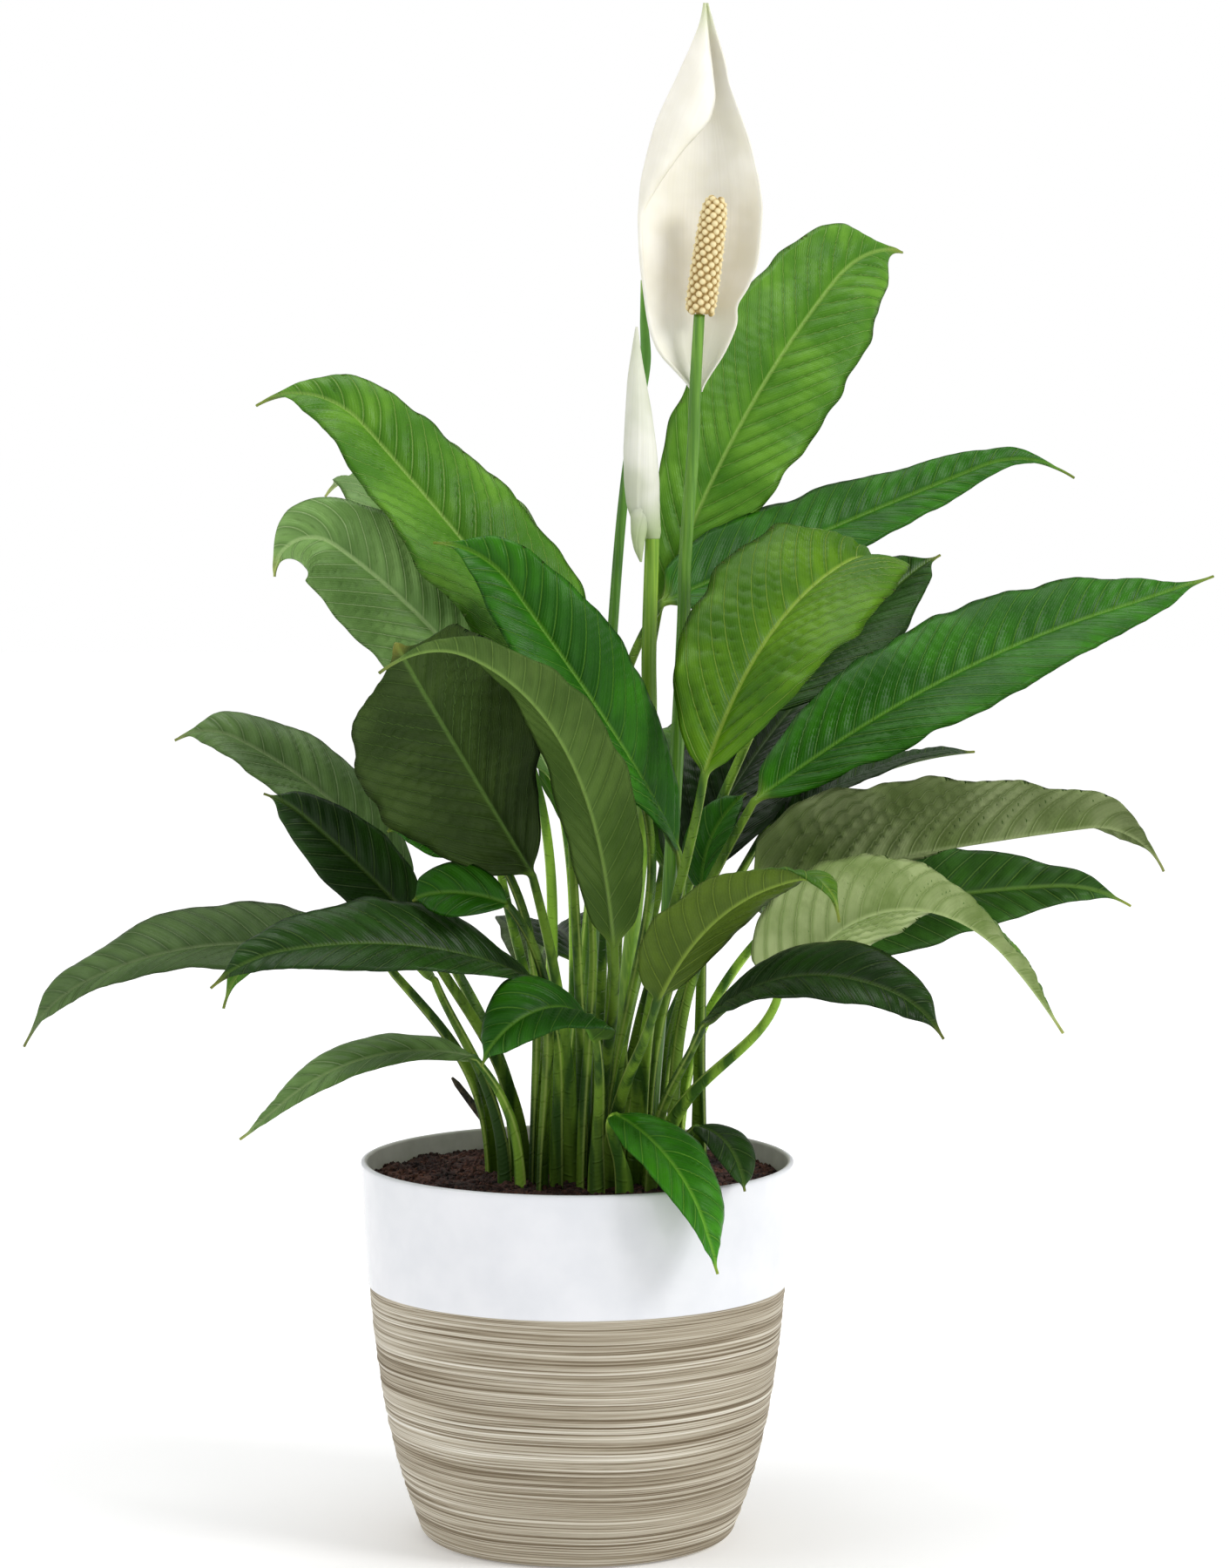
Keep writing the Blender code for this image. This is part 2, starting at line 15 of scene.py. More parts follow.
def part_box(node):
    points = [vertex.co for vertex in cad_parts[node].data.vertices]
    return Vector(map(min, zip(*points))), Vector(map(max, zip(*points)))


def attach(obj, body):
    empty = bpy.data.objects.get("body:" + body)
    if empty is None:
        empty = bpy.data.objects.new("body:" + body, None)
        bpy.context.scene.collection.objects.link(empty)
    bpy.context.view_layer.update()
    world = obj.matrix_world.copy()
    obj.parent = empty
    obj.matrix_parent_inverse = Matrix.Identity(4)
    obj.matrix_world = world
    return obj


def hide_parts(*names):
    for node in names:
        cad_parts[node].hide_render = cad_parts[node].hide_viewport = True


MM = 0.001
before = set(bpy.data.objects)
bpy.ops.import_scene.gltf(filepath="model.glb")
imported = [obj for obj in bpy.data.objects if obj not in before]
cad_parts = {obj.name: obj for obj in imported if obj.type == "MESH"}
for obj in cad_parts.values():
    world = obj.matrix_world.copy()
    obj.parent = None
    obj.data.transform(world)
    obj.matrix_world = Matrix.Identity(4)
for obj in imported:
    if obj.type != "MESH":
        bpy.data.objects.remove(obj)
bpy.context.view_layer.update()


# Studio: a wide pale floor in white surroundings, lit by a large soft light from the upper right, a
# weaker one from the left and a soft one overhead. The camera stands at flower height and looks
# slightly down.
scene = bpy.context.scene
scene.view_settings.view_transform = "Standard"

surroundings = bpy.data.worlds.new("white_surroundings")
surroundings.use_nodes = True
scene.world = surroundings
air = surroundings.node_tree
backdrop = air.nodes["Background"]
backdrop.inputs["Color"].default_value = (1, 1, 1, 1)
backdrop.inputs["Strength"].default_value = 1.0
room_light = air.nodes.new("ShaderNodeBackground")
room_light.inputs["Color"].default_value = (1, 1, 1, 1)
room_light.inputs["Strength"].default_value = 0.5
seen_directly = air.nodes.new("ShaderNodeLightPath")
either = air.nodes.new("ShaderNodeMixShader")
air.links.new(seen_directly.outputs["Is Camera Ray"], either.inputs[0])
air.links.new(room_light.outputs[0], either.inputs[1])
air.links.new(backdrop.outputs[0], either.inputs[2])
air.links.new(either.outputs[0], air.nodes["World Output"].inputs["Surface"])

camera = bpy.data.objects.new("camera", bpy.data.cameras.new("camera"))
camera.location = (0.015, -1.9, 0.4717)
camera.rotation_euler = (math.radians(85), 0, 0)
camera.data.lens = 109.06
camera.data.sensor_width = 36
scene.collection.objects.link(camera)
scene.camera = camera

for lamp_name, lamp_place, lamp_size, lamp_power in (
    ("light_upper_right", (1.8, -1.1, 1.6), 0.9, 30),
    ("light_left", (-1.9, -0.8, 1.1), 1.2, 10),
    ("light_overhead", (-0.1, 0.3, 2.1), 1.2, 16),
):
    lamp = bpy.data.objects.new(lamp_name, bpy.data.lights.new(lamp_name, "AREA"))
    lamp.data.size = lamp_size
    lamp.data.energy = lamp_power
    lamp.location = lamp_place
    lamp.rotation_euler = (Vector((0, 0, 0.3)) - lamp.location).to_track_quat("-Z", "Y").to_euler()
    scene.collection.objects.link(lamp)

FLOOR_REACH = 6.0
floor_mesh = bpy.data.meshes.new("studio_floor")
floor_mesh.from_pydata(
    [(-FLOOR_REACH, -FLOOR_REACH, 0), (FLOOR_REACH, -FLOOR_REACH, 0),
     (FLOOR_REACH, FLOOR_REACH, 0), (-FLOOR_REACH, FLOOR_REACH, 0)],
    [],
    [(0, 1, 2, 3)],
)
studio_floor = bpy.data.objects.new("studio_floor", floor_mesh)
scene.collection.objects.link(studio_floor)
floor_finish = bpy.data.materials.new("pale_floor")
floor_finish.use_nodes = True
floor_shader = floor_finish.node_tree.nodes["Principled BSDF"]
floor_shader.inputs["Base Color"].default_value = (0.93, 0.93, 0.93, 1)
floor_shader.inputs["Roughness"].default_value = 0.7
floor_shader.inputs["Emission Strength"].default_value = 1.0
floor_tree = floor_finish.node_tree
floor_place = floor_tree.nodes.new("ShaderNodeTexCoord")
floor_distance = floor_tree.nodes.new("ShaderNodeVectorMath")
floor_distance.operation = "LENGTH"
floor_glow = floor_tree.nodes.new("ShaderNodeMapRange")
floor_glow.interpolation_type = "SMOOTHSTEP"
for socket_name, value in (("From Min", 0.15), ("From Max", 2.2), ("To Min", 0.2), ("To Max", 0.55)):
    floor_glow.inputs[socket_name].default_value = value
floor_tree.links.new(floor_place.outputs["Object"], floor_distance.inputs[0])
floor_tree.links.new(floor_distance.outputs["Value"], floor_glow.inputs["Value"])
floor_tree.links.new(floor_glow.outputs["Result"], floor_shader.inputs["Emission Color"])
floor_mesh.materials.append(floor_finish)


# Planter: one moulded plastic shell. A glossy white band stands just proud of a tapering lower body,
# which is finished as strands wound round and round it, their colour lighter on the rib tops and
# darker in the grooves as painted highlight and painted shade; the inside is plain grey.
def colour(red, green, blue):
    """A linear colour from display values of 0 to 255."""
    linear = [
        value / 12.92 if value <= 0.04045 else ((value + 0.055) / 1.055) ** 2.4
        for value in (red / 255, green / 255, blue / 255)
    ]
    return (*linear, 1)


def add_node(tree, kind, inputs=None, **settings):
    """Adds a node. Each input is given a value, or a socket to be linked from."""
    node = tree.nodes.new(kind)
    for name, value in settings.items():
        setattr(node, name, value)
    for name, value in (inputs or {}).items():
        if isinstance(value, bpy.types.NodeSocket):
            tree.links.new(value, node.inputs[name])
        else:
            node.inputs[name].default_value = value
    return node


def calculate(tree, operation, *values, clamp=False):
    """The result of one Math node."""
    return add_node(
        tree, "ShaderNodeMath", dict(enumerate(values)), operation=operation, use_clamp=clamp
    ).outputs[0]


def step_between(tree, value, low, high):
    """0 below low, 1 above high, and a smooth step between them."""
    return add_node(
        tree,
        "ShaderNodeMapRange",
        {"Value": value, "From Min": low, "From Max": high},
        interpolation_type="SMOOTHSTEP",
    ).outputs["Result"]


def mix_colours(tree, share, first, second, blend="MIX"):
    """Two colours mixed by a share."""
    node = tree.nodes.new("ShaderNodeMix")
    node.data_type = "RGBA"
    node.blend_type = blend
    for socket, value in ((node.inputs[0], share), (node.inputs[6], first), (node.inputs[7], second)):
        if isinstance(value, bpy.types.NodeSocket):
            tree.links.new(value, socket)
        else:
            socket.default_value = value
    return node.outputs[2]


def new_group(name, kind, inputs, outputs):
    """A node group with named sockets. Returns the tree, its input node and its output node."""
    tree = bpy.data.node_groups.new(name, kind)
    for socket_name, socket_kind, value in inputs:
        socket = tree.interface.new_socket(socket_name, in_out="INPUT", socket_type=socket_kind)
        if value is not None:
            socket.default_value = value
    for socket_name, socket_kind in outputs:
        tree.interface.new_socket(socket_name, in_out="OUTPUT", socket_type=socket_kind)
    return tree, tree.nodes.new("NodeGroupInput"), tree.nodes.new("NodeGroupOutput")


def new_finish(name, roughness):
    """A material with an empty Principled shader. Returns the material, its tree and the shader."""
    finish = bpy.data.materials.new(name)
    finish.use_nodes = True
    shader = finish.node_tree.nodes["Principled BSDF"]
    shader.inputs["Roughness"].default_value = roughness
    return finish, finish.node_tree, shader


def formed(base, tree, values):
    """Runs a node tree on a piece and leaves the result as the piece's own plain mesh."""
    modifier = base.modifiers.new(tree.name, "NODES")
    modifier.node_group = tree
    for item in tree.interface.items_tree:
        if item.item_type == "SOCKET" and item.in_out == "INPUT" and item.name in values:
            modifier[item.identifier] = values[item.name]
    bpy.context.view_layer.update()
    shown = base.evaluated_get(bpy.context.evaluated_depsgraph_get())
    mesh = bpy.data.meshes.new_from_object(shown)
    base.modifiers.remove(modifier)
    base.data = mesh
    return base


def add_piece(name, points, faces, finishes=()):
    """A mesh object at the origin, with smooth shading and outward faces."""
    mesh = bpy.data.meshes.new(name)
    mesh.from_pydata([tuple(point) for point in points], [], faces)
    shell = bmesh.new()
    shell.from_mesh(mesh)
    bmesh.ops.recalc_face_normals(shell, faces=shell.faces)
    shell.to_mesh(mesh)
    shell.free()
    mesh.shade_smooth()
    for finish in finishes:
        mesh.materials.append(finish)
    piece = bpy.data.objects.new(name, mesh)
    scene.collection.objects.link(piece)
    return piece


def set_values(piece, name, kind, values, domain="POINT"):
    """Stores one value for each point or face under a name."""
    layer = piece.data.attributes.new(name, kind, domain)
    layer.data.foreach_set("vector" if kind == "FLOAT_VECTOR" else "value", np.ravel(values))


def revolve(name, profile, sides, finishes=()):
    """A closed body of revolution about Z, from a profile that starts and ends on the axis."""
    turn = math.tau * np.arange(sides) / sides
    rings = np.array(profile[1:-1])
    around = np.stack((np.cos(turn), np.sin(turn)), axis=1)
    walls = np.concatenate([
        np.column_stack((around * radius, np.full(sides, height))) for radius, height in rings
    ])
    points = np.concatenate((walls, [(0, 0, profile[0][1]), (0, 0, profile[-1][1])]))
    first = np.arange(sides)
    after = np.roll(first, -1)
    faces = []
    for ring in range(len(rings) - 1):
        low = ring * sides
        faces += np.stack((low + first, low + after, low + sides + after, low + sides + first), axis=1).tolist()
    last = (len(rings) - 1) * sides
    faces += [(len(walls), b, a) for a, b in zip(first, after)]
    faces += [(len(walls) + 1, last + a, last + b) for a, b in zip(first, after)]
    return add_piece(name, points, faces, finishes)


def bend(start, pull, end, steps):
    """Points along a quadratic curve."""
    share = np.linspace(0, 1, steps + 1)[:, None]
    start, pull, end = np.array(start), np.array(pull), np.array(end)
    return (1 - share) ** 2 * start + 2 * share * (1 - share) * pull + share**2 * end


# Long thin strands wound round a body, a little off level
strands, strand_in, strand_out = new_group(
    "wound_strands",
    "ShaderNodeTree",
    (("Spacing", "NodeSocketFloat", 1.5 * MM), ("Run", "NodeSocketFloat", 90 * MM),
     ("Lean", "NodeSocketFloat", 1.5 * MM), ("Detail", "NodeSocketFloat", 3.0)),
    (("Strand", "NodeSocketFloat"),),
)
strand_place = add_node(strands, "ShaderNodeTexCoord").outputs["Object"]
strand_sway = add_node(strands, "ShaderNodeTexNoise", {"Vector": strand_place, "Scale": 9.0, "Detail": 1.0})
strand_axes = add_node(strands, "ShaderNodeSeparateXYZ", {0: strand_place})
strand_level = calculate(
    strands, "ADD", strand_axes.outputs[2],
    calculate(strands, "MULTIPLY", strand_sway.outputs[0], strand_in.outputs["Lean"]),
)
strand_vector = add_node(strands, "ShaderNodeCombineXYZ", {
    0: calculate(strands, "DIVIDE", strand_axes.outputs[0], strand_in.outputs["Run"]),
    1: calculate(strands, "DIVIDE", strand_axes.outputs[1], strand_in.outputs["Run"]),
    2: calculate(strands, "DIVIDE", strand_level, strand_in.outputs["Spacing"]),
})
strand_noise = add_node(strands, "ShaderNodeTexNoise", {
    "Vector": strand_vector.outputs[0], "Scale": 1.0, "Detail": strand_in.outputs["Detail"],
    "Roughness": 0.55,
})
strands.links.new(strand_noise.outputs[0], strand_out.inputs["Strand"])

rim_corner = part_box("planter")[1]
RIM_RADIUS = rim_corner.x
POT_HEIGHT = rim_corner.z
BAND_FOOT_HEIGHT = 103.7 * MM
BODY_TOP = (84.4 * MM, BAND_FOOT_HEIGHT)
BODY_BELLY = (79.8 * MM, 41 * MM)
BODY_FOOT = (64.2 * MM, 4.7 * MM)
UNDERSIDE_RADIUS = 57 * MM
POT_WALL = 2.6 * MM
POT_FLOOR = 3 * MM
RIM_EDGE = 1.0 * MM
POT_SIDES = 300

body_line = bend(BODY_FOOT, BODY_BELLY, BODY_TOP, 250)
planter_profile = [(0, 0), *bend((UNDERSIDE_RADIUS, 0), (62.6 * MM, 0.2 * MM), BODY_FOOT, 10), *body_line[1:]]
planter_profile += [
    (84.7 * MM, BAND_FOOT_HEIGHT + 0.05 * MM), (84.95 * MM, BAND_FOOT_HEIGHT + 0.3 * MM),
    (85.02 * MM, BAND_FOOT_HEIGHT + 0.8 * MM), (85.3 * MM, 110 * MM), (86.3 * MM, 129 * MM),
    (87.35 * MM, 150.5 * MM), (RIM_RADIUS - 0.02 * MM, POT_HEIGHT - RIM_EDGE),
    (RIM_RADIUS - 0.25 * MM, POT_HEIGHT - 0.35 * MM), (RIM_RADIUS - RIM_EDGE, POT_HEIGHT),
    (RIM_RADIUS - POT_WALL + RIM_EDGE, POT_HEIGHT), (RIM_RADIUS - POT_WALL + 0.2 * MM, POT_HEIGHT - 0.4 * MM),
    (RIM_RADIUS - POT_WALL, POT_HEIGHT - RIM_EDGE),
]
planter_profile += [
    (radius - POT_WALL, height) for radius, height in body_line[::-25] if height > POT_FLOOR + POT_WALL
]
planter_profile += [(BODY_FOOT[0] - POT_WALL, POT_FLOOR), (0, POT_FLOOR)]

body_finish, body_tree, body_shader = new_finish("wound_strand_plastic", 0.5)
coarse = add_node(body_tree, "ShaderNodeGroup", node_tree=strands)
for input_name, value in (("Spacing", 1.3 * MM), ("Run", 190 * MM), ("Lean", 6 * MM), ("Detail", 2.0)):
    coarse.inputs[input_name].default_value = value
fine = add_node(body_tree, "ShaderNodeGroup", node_tree=strands)
for input_name, value in (("Spacing", 0.42 * MM), ("Run", 170 * MM), ("Lean", 6 * MM), ("Detail", 3.0)):
    fine.inputs[input_name].default_value = value
# Painted highlight and shade: the rib height lightens the rib tops and darkens the grooves.
rib_level = add_node(body_tree, "ShaderNodeAttribute", attribute_name="rib_level").outputs["Fac"]
strand_pattern_and_rib_shade = calculate(
    body_tree, "ADD",
    calculate(body_tree, "MULTIPLY", coarse.outputs[0], 0.26),
    calculate(body_tree, "ADD", calculate(body_tree, "MULTIPLY", fine.outputs[0], 0.6),
              calculate(body_tree, "MULTIPLY", rib_level, 0.16)),
)
strand_ramp = add_node(body_tree, "ShaderNodeValToRGB", {"Fac": strand_pattern_and_rib_shade})
strand_ramp.color_ramp.elements[0].position = 0.37
strand_ramp.color_ramp.elements[0].color = colour(104, 90, 68)
strand_ramp.color_ramp.elements[1].position = 0.68
strand_ramp.color_ramp.elements[1].color = colour(240, 236, 224)
for position, tint in (
    (0.43, colour(146, 134, 112)), (0.49, colour(176, 166, 146)), (0.57, colour(204, 196, 178))
):
    strand_ramp.color_ramp.elements.new(position).color = tint
body_tree.links.new(strand_ramp.outputs["Color"], body_shader.inputs["Base Color"])
body_bump = add_node(
    body_tree, "ShaderNodeBump", {"Height": strand_pattern_and_rib_shade, "Strength": 0.5, "Distance": 0.6 * MM}
)
body_tree.links.new(body_bump.outputs[0], body_shader.inputs["Normal"])
body_tree.links.new(step_between(body_tree, strand_pattern_and_rib_shade, 1.1, 0.1), body_shader.inputs["Roughness"])

surface_wear, wear_in, wear_out = new_group(
    "faint_handling_marks",
    "ShaderNodeTree",
    (("Size", "NodeSocketFloat", 20 * MM), ("Contrast", "NodeSocketFloat", 0.3)),
    (("Marks", "NodeSocketFloat"),),
)
wear_noise = add_node(surface_wear, "ShaderNodeTexNoise", {
    "Vector": add_node(surface_wear, "ShaderNodeTexCoord").outputs["Object"],
    "Scale": calculate(surface_wear, "DIVIDE", 1.0, wear_in.outputs["Size"]),
    "Detail": 4.0,
})
wear_shift = calculate(surface_wear, "SUBTRACT", wear_noise.outputs[0], 0.5)
surface_wear.links.new(
    calculate(surface_wear, "MULTIPLY", wear_shift, wear_in.outputs["Contrast"]), wear_out.inputs["Marks"]
)

band_finish, band_tree, band_shader = new_finish("white_band_gloss", 0.16)
band_marks = add_node(band_tree, "ShaderNodeGroup", node_tree=surface_wear)
band_tree.links.new(
    mix_colours(band_tree, step_between(band_tree, band_marks.outputs[0], -0.1, 0.1),
                colour(224, 226, 231), colour(235, 236, 240)),
    band_shader.inputs["Base Color"],
)
band_tree.links.new(
    calculate(band_tree, "ADD", band_marks.outputs[0], 0.17), band_shader.inputs["Roughness"]
)

inside_finish, inside_tree, inside_shader = new_finish("grey_inside", 0.5)
inside_marks = add_node(inside_tree, "ShaderNodeGroup", node_tree=surface_wear)
inside_marks.inputs["Size"].default_value = 8 * MM
inside_tree.links.new(
    mix_colours(inside_tree, step_between(inside_tree, inside_marks.outputs[0], -0.1, 0.1),
                colour(196, 193, 188), colour(216, 213, 208)),
    inside_shader.inputs["Base Color"],
)
inside_bump = add_node(
    inside_tree, "ShaderNodeBump", {"Height": inside_marks.outputs[0], "Strength": 0.3, "Distance": 0.5 * MM}
)
inside_tree.links.new(inside_bump.outputs[0], inside_shader.inputs["Normal"])

wound_ribs, rib_in, rib_out = new_group(
    "wound_ribs",
    "GeometryNodeTree",
    (("Geometry", "NodeSocketGeometry", None), ("Rib Spacing", "NodeSocketFloat", 1.5 * MM),
     ("Rib Run", "NodeSocketFloat", 150 * MM), ("Rib Depth", "NodeSocketFloat", 0.6 * MM),
     ("Lean", "NodeSocketFloat", 6 * MM), ("Rib Finish", "NodeSocketMaterial", None)),
    (("Geometry", "NodeSocketGeometry"),),
)
rib_place = add_node(wound_ribs, "GeometryNodeInputPosition").outputs[0]
rib_axes = add_node(wound_ribs, "ShaderNodeSeparateXYZ", {0: rib_place})
rib_sway = add_node(wound_ribs, "ShaderNodeTexNoise", {"Vector": rib_place, "Scale": 9.0, "Detail": 1.0})
rib_vector = add_node(wound_ribs, "ShaderNodeCombineXYZ", {
    0: calculate(wound_ribs, "DIVIDE", rib_axes.outputs[0], rib_in.outputs["Rib Run"]),
    1: calculate(wound_ribs, "DIVIDE", rib_axes.outputs[1], rib_in.outputs["Rib Run"]),
    2: calculate(
        wound_ribs, "DIVIDE",
        calculate(wound_ribs, "ADD", rib_axes.outputs[2],
                  calculate(wound_ribs, "MULTIPLY", rib_sway.outputs[0], rib_in.outputs["Lean"])),
        rib_in.outputs["Rib Spacing"],
    ),
})
rib_noise = add_node(
    wound_ribs, "ShaderNodeTexNoise", {"Vector": rib_vector.outputs[0], "Scale": 1.0, "Detail": 1.5}
)
rib_height = calculate(
    wound_ribs, "ABSOLUTE", calculate(wound_ribs, "MULTIPLY", calculate(
        wound_ribs, "SUBTRACT", rib_noise.outputs[0], 0.5), 3.4), clamp=True,
)
rib_share = add_node(wound_ribs, "GeometryNodeInputNamedAttribute", {"Name": "ribbed"}).outputs["Attribute"]
rib_lift = calculate(
    wound_ribs, "MULTIPLY", rib_share,
    calculate(wound_ribs, "MULTIPLY", calculate(wound_ribs, "SUBTRACT", rib_height, 0.75),
              rib_in.outputs["Rib Depth"]),
)
rib_normal = add_node(wound_ribs, "GeometryNodeInputNormal").outputs[0]
rib_offset = add_node(
    wound_ribs, "ShaderNodeVectorMath", {0: rib_normal, "Scale": rib_lift}, operation="SCALE"
).outputs[0]
rib_kept = add_node(
    wound_ribs, "GeometryNodeStoreNamedAttribute",
    {"Geometry": rib_in.outputs["Geometry"], "Name": "rib_level", "Value": rib_height},
    data_type="FLOAT", domain="POINT",
)
rib_moved = add_node(
    wound_ribs, "GeometryNodeSetPosition", {"Geometry": rib_kept.outputs[0], "Offset": rib_offset}
)
rib_real = add_node(wound_ribs, "GeometryNodeRealizeInstances", {0: rib_moved.outputs[0]})
rib_painted = add_node(wound_ribs, "GeometryNodeSetMaterial", {
    "Geometry": rib_real.outputs[0],
    "Selection": calculate(wound_ribs, "GREATER_THAN", rib_share, 0.01),
    "Material": rib_in.outputs["Rib Finish"],
})
wound_ribs.links.new(rib_painted.outputs[0], rib_out.inputs["Geometry"])

planter = revolve("planter_shell", planter_profile, POT_SIDES, (band_finish, inside_finish, body_finish))
planter_points = np.array([vertex.co for vertex in planter.data.vertices])
planter_radius = np.hypot(planter_points[:, 0], planter_points[:, 1])
outer_radius = np.interp(planter_points[:, 2], body_line[:, 1], body_line[:, 0])
on_body = (planter_radius > outer_radius - 0.05 * MM) & (planter_points[:, 2] < BAND_FOOT_HEIGHT + 0.02 * MM)
rib_fade = np.clip((planter_points[:, 2] - 4 * MM) / (4 * MM), 0, 1)
rib_fade *= np.clip((BAND_FOOT_HEIGHT + 0.7 * MM - planter_points[:, 2]) / (1.5 * MM), 0, 1)
set_values(planter, "ribbed", "FLOAT", np.where(on_body, rib_fade, 0))
for face in planter.data.polygons:
    middle = face.center
    inwards = face.normal.x * middle.x + face.normal.y * middle.y < 0
    inside = inwards or (middle.z < 20 * MM and face.normal.z > 0.5)
    face.material_index = 1 if inside else (2 if middle.z < BODY_TOP[1] else 0)
formed(planter, wound_ribs, {"Rib Finish": body_finish})
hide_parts("planter")
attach(planter, "root")


# Potting mix: dark peat and bark crumbs, levelled by hand a little below the rim and heaped slightly
# round the crown. It fills the planter from its floor.
MIX_LEVEL = 145.3 * MM
MIX_HEAP = 147.2 * MM
MIX_SIDES = 200
mix_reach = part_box("potting_mix")[1].x - 0.2 * MM
mix_profile = [(0, POT_FLOOR + 0.3 * MM)]
mix_profile += [
    (radius - POT_WALL - 0.4 * MM, height)
    for radius, height in body_line[::25]
    if height > POT_FLOOR + POT_WALL
]
mix_profile += [(mix_reach, MIX_LEVEL - 3 * MM)]
mix_profile += [
    (mix_reach * share, np.interp(mix_reach * share, (0.055, 0.078), (MIX_HEAP, MIX_LEVEL)))
    for share in np.linspace(1, 0.01, 70)
]
mix_profile.append((0, MIX_HEAP))

mix_finish, mix_tree, mix_shader = new_finish("peat_and_bark", 0.92)
mix_place = add_node(mix_tree, "ShaderNodeTexCoord").outputs["Object"]
mix_patches = add_node(mix_tree, "ShaderNodeTexNoise", {"Vector": mix_place, "Scale": 60.0, "Detail": 4.0})
mix_grains = add_node(mix_tree, "ShaderNodeTexNoise", {"Vector": mix_place, "Scale": 700.0, "Detail": 5.0})
mix_ramp = add_node(mix_tree, "ShaderNodeValToRGB", {
    "Fac": calculate(mix_tree, "ADD", calculate(mix_tree, "MULTIPLY", mix_patches.outputs[0], 0.45),
                     calculate(mix_tree, "MULTIPLY", mix_grains.outputs[0], 0.55)),
})
mix_ramp.color_ramp.elements[0].position = 0.38
mix_ramp.color_ramp.elements[0].color = colour(20, 11, 9)
mix_ramp.color_ramp.elements[1].position = 0.66
mix_ramp.color_ramp.elements[1].color = colour(112, 72, 56)
mix_ramp.color_ramp.elements.new(0.5).color = colour(56, 32, 27)
mix_tree.links.new(mix_ramp.outputs["Color"], mix_shader.inputs["Base Color"])
mix_bump = add_node(
    mix_tree, "ShaderNodeBump", {"Height": mix_grains.outputs[0], "Strength": 0.8, "Distance": 0.8 * MM}
)
mix_tree.links.new(mix_bump.outputs[0], mix_shader.inputs["Normal"])

crumble, crumb_in, crumb_out = new_group(
    "crumbled_mix",
    "GeometryNodeTree",
    (("Geometry", "NodeSocketGeometry", None), ("Lump Height", "NodeSocketFloat", 8.0 * MM),
     ("Lump Scale", "NodeSocketFloat", 85.0), ("Crumbs per Square Metre", "NodeSocketFloat", 160000.0),
     ("Smallest", "NodeSocketFloat", 0.5 * MM), ("Largest", "NodeSocketFloat", 2.3 * MM),
     ("Seed", "NodeSocketInt", 7), ("Finish", "NodeSocketMaterial", None)),
    (("Geometry", "NodeSocketGeometry"),),
)
crumb_top = add_node(crumble, "GeometryNodeInputNamedAttribute", {"Name": "open_top"}).outputs["Attribute"]
crumb_place = add_node(crumble, "GeometryNodeInputPosition").outputs[0]
lump = add_node(crumble, "ShaderNodeTexNoise", {
    "Vector": crumb_place, "Scale": crumb_in.outputs["Lump Scale"], "Detail": 4.0, "Roughness": 0.6,
})
lump_height = calculate(
    crumble, "MULTIPLY", crumb_top,
    calculate(crumble, "MULTIPLY", calculate(crumble, "SUBTRACT", lump.outputs[0], 0.48),
              crumb_in.outputs["Lump Height"]),
)
lumpy = add_node(crumble, "GeometryNodeSetPosition", {
    "Geometry": crumb_in.outputs["Geometry"],
    "Offset": add_node(crumble, "ShaderNodeCombineXYZ", {2: lump_height}).outputs[0],
})
scattered = add_node(crumble, "GeometryNodeDistributePointsOnFaces", {
    "Mesh": lumpy.outputs[0],
    "Selection": calculate(crumble, "GREATER_THAN", crumb_top, 0.5),
    "Density": crumb_in.outputs["Crumbs per Square Metre"],
    "Seed": crumb_in.outputs["Seed"],
})
crumb_shape = add_node(crumble, "GeometryNodeMeshIcoSphere", {"Radius": 1.0, "Subdivisions": 1})
crumb_size = add_node(crumble, "FunctionNodeRandomValue", data_type="FLOAT_VECTOR")
crumb_size.inputs["Min"].default_value = (0.35, 0.35, 0.3)
crumb_size.inputs["Max"].default_value = (1.0, 1.0, 0.6)
crumb_grade = add_node(crumble, "FunctionNodeRandomValue", data_type="FLOAT")
crumble.links.new(crumb_in.outputs["Smallest"], crumb_grade.inputs[2])
crumble.links.new(crumb_in.outputs["Largest"], crumb_grade.inputs[3])
crumb_turn = add_node(crumble, "FunctionNodeRandomValue", data_type="FLOAT_VECTOR")
crumb_turn.inputs["Max"].default_value = (math.tau, math.tau, math.tau)
crumbs = add_node(crumble, "GeometryNodeInstanceOnPoints", {
    "Points": scattered.outputs["Points"],
    "Instance": crumb_shape.outputs["Mesh"],
    "Rotation": crumb_turn.outputs[0],
    "Scale": add_node(crumble, "ShaderNodeVectorMath", {
        0: crumb_size.outputs[0], "Scale": crumb_grade.outputs[1]}, operation="SCALE").outputs[0],
})
crumb_real = add_node(crumble, "GeometryNodeRealizeInstances", {0: crumbs.outputs[0]})
crumb_join = crumble.nodes.new("GeometryNodeJoinGeometry")
crumble.links.new(lumpy.outputs[0], crumb_join.inputs[0])
crumble.links.new(crumb_real.outputs[0], crumb_join.inputs[0])
crumb_painted = add_node(
    crumble, "GeometryNodeSetMaterial", {
        "Geometry": crumb_join.outputs[0], "Material": crumb_in.outputs["Finish"]
    }
)
crumble.links.new(crumb_painted.outputs[0], crumb_out.inputs["Geometry"])

potting_mix = revolve("potting_mix_heap", mix_profile, MIX_SIDES)
mix_points = np.array([vertex.co for vertex in potting_mix.data.vertices])
set_values(potting_mix, "open_top", "FLOAT", (mix_points[:, 2] > MIX_LEVEL - 1 * MM).astype(float))
formed(potting_mix, crumble, {"Finish": mix_finish})
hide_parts("potting_mix")
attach(potting_mix, "root")


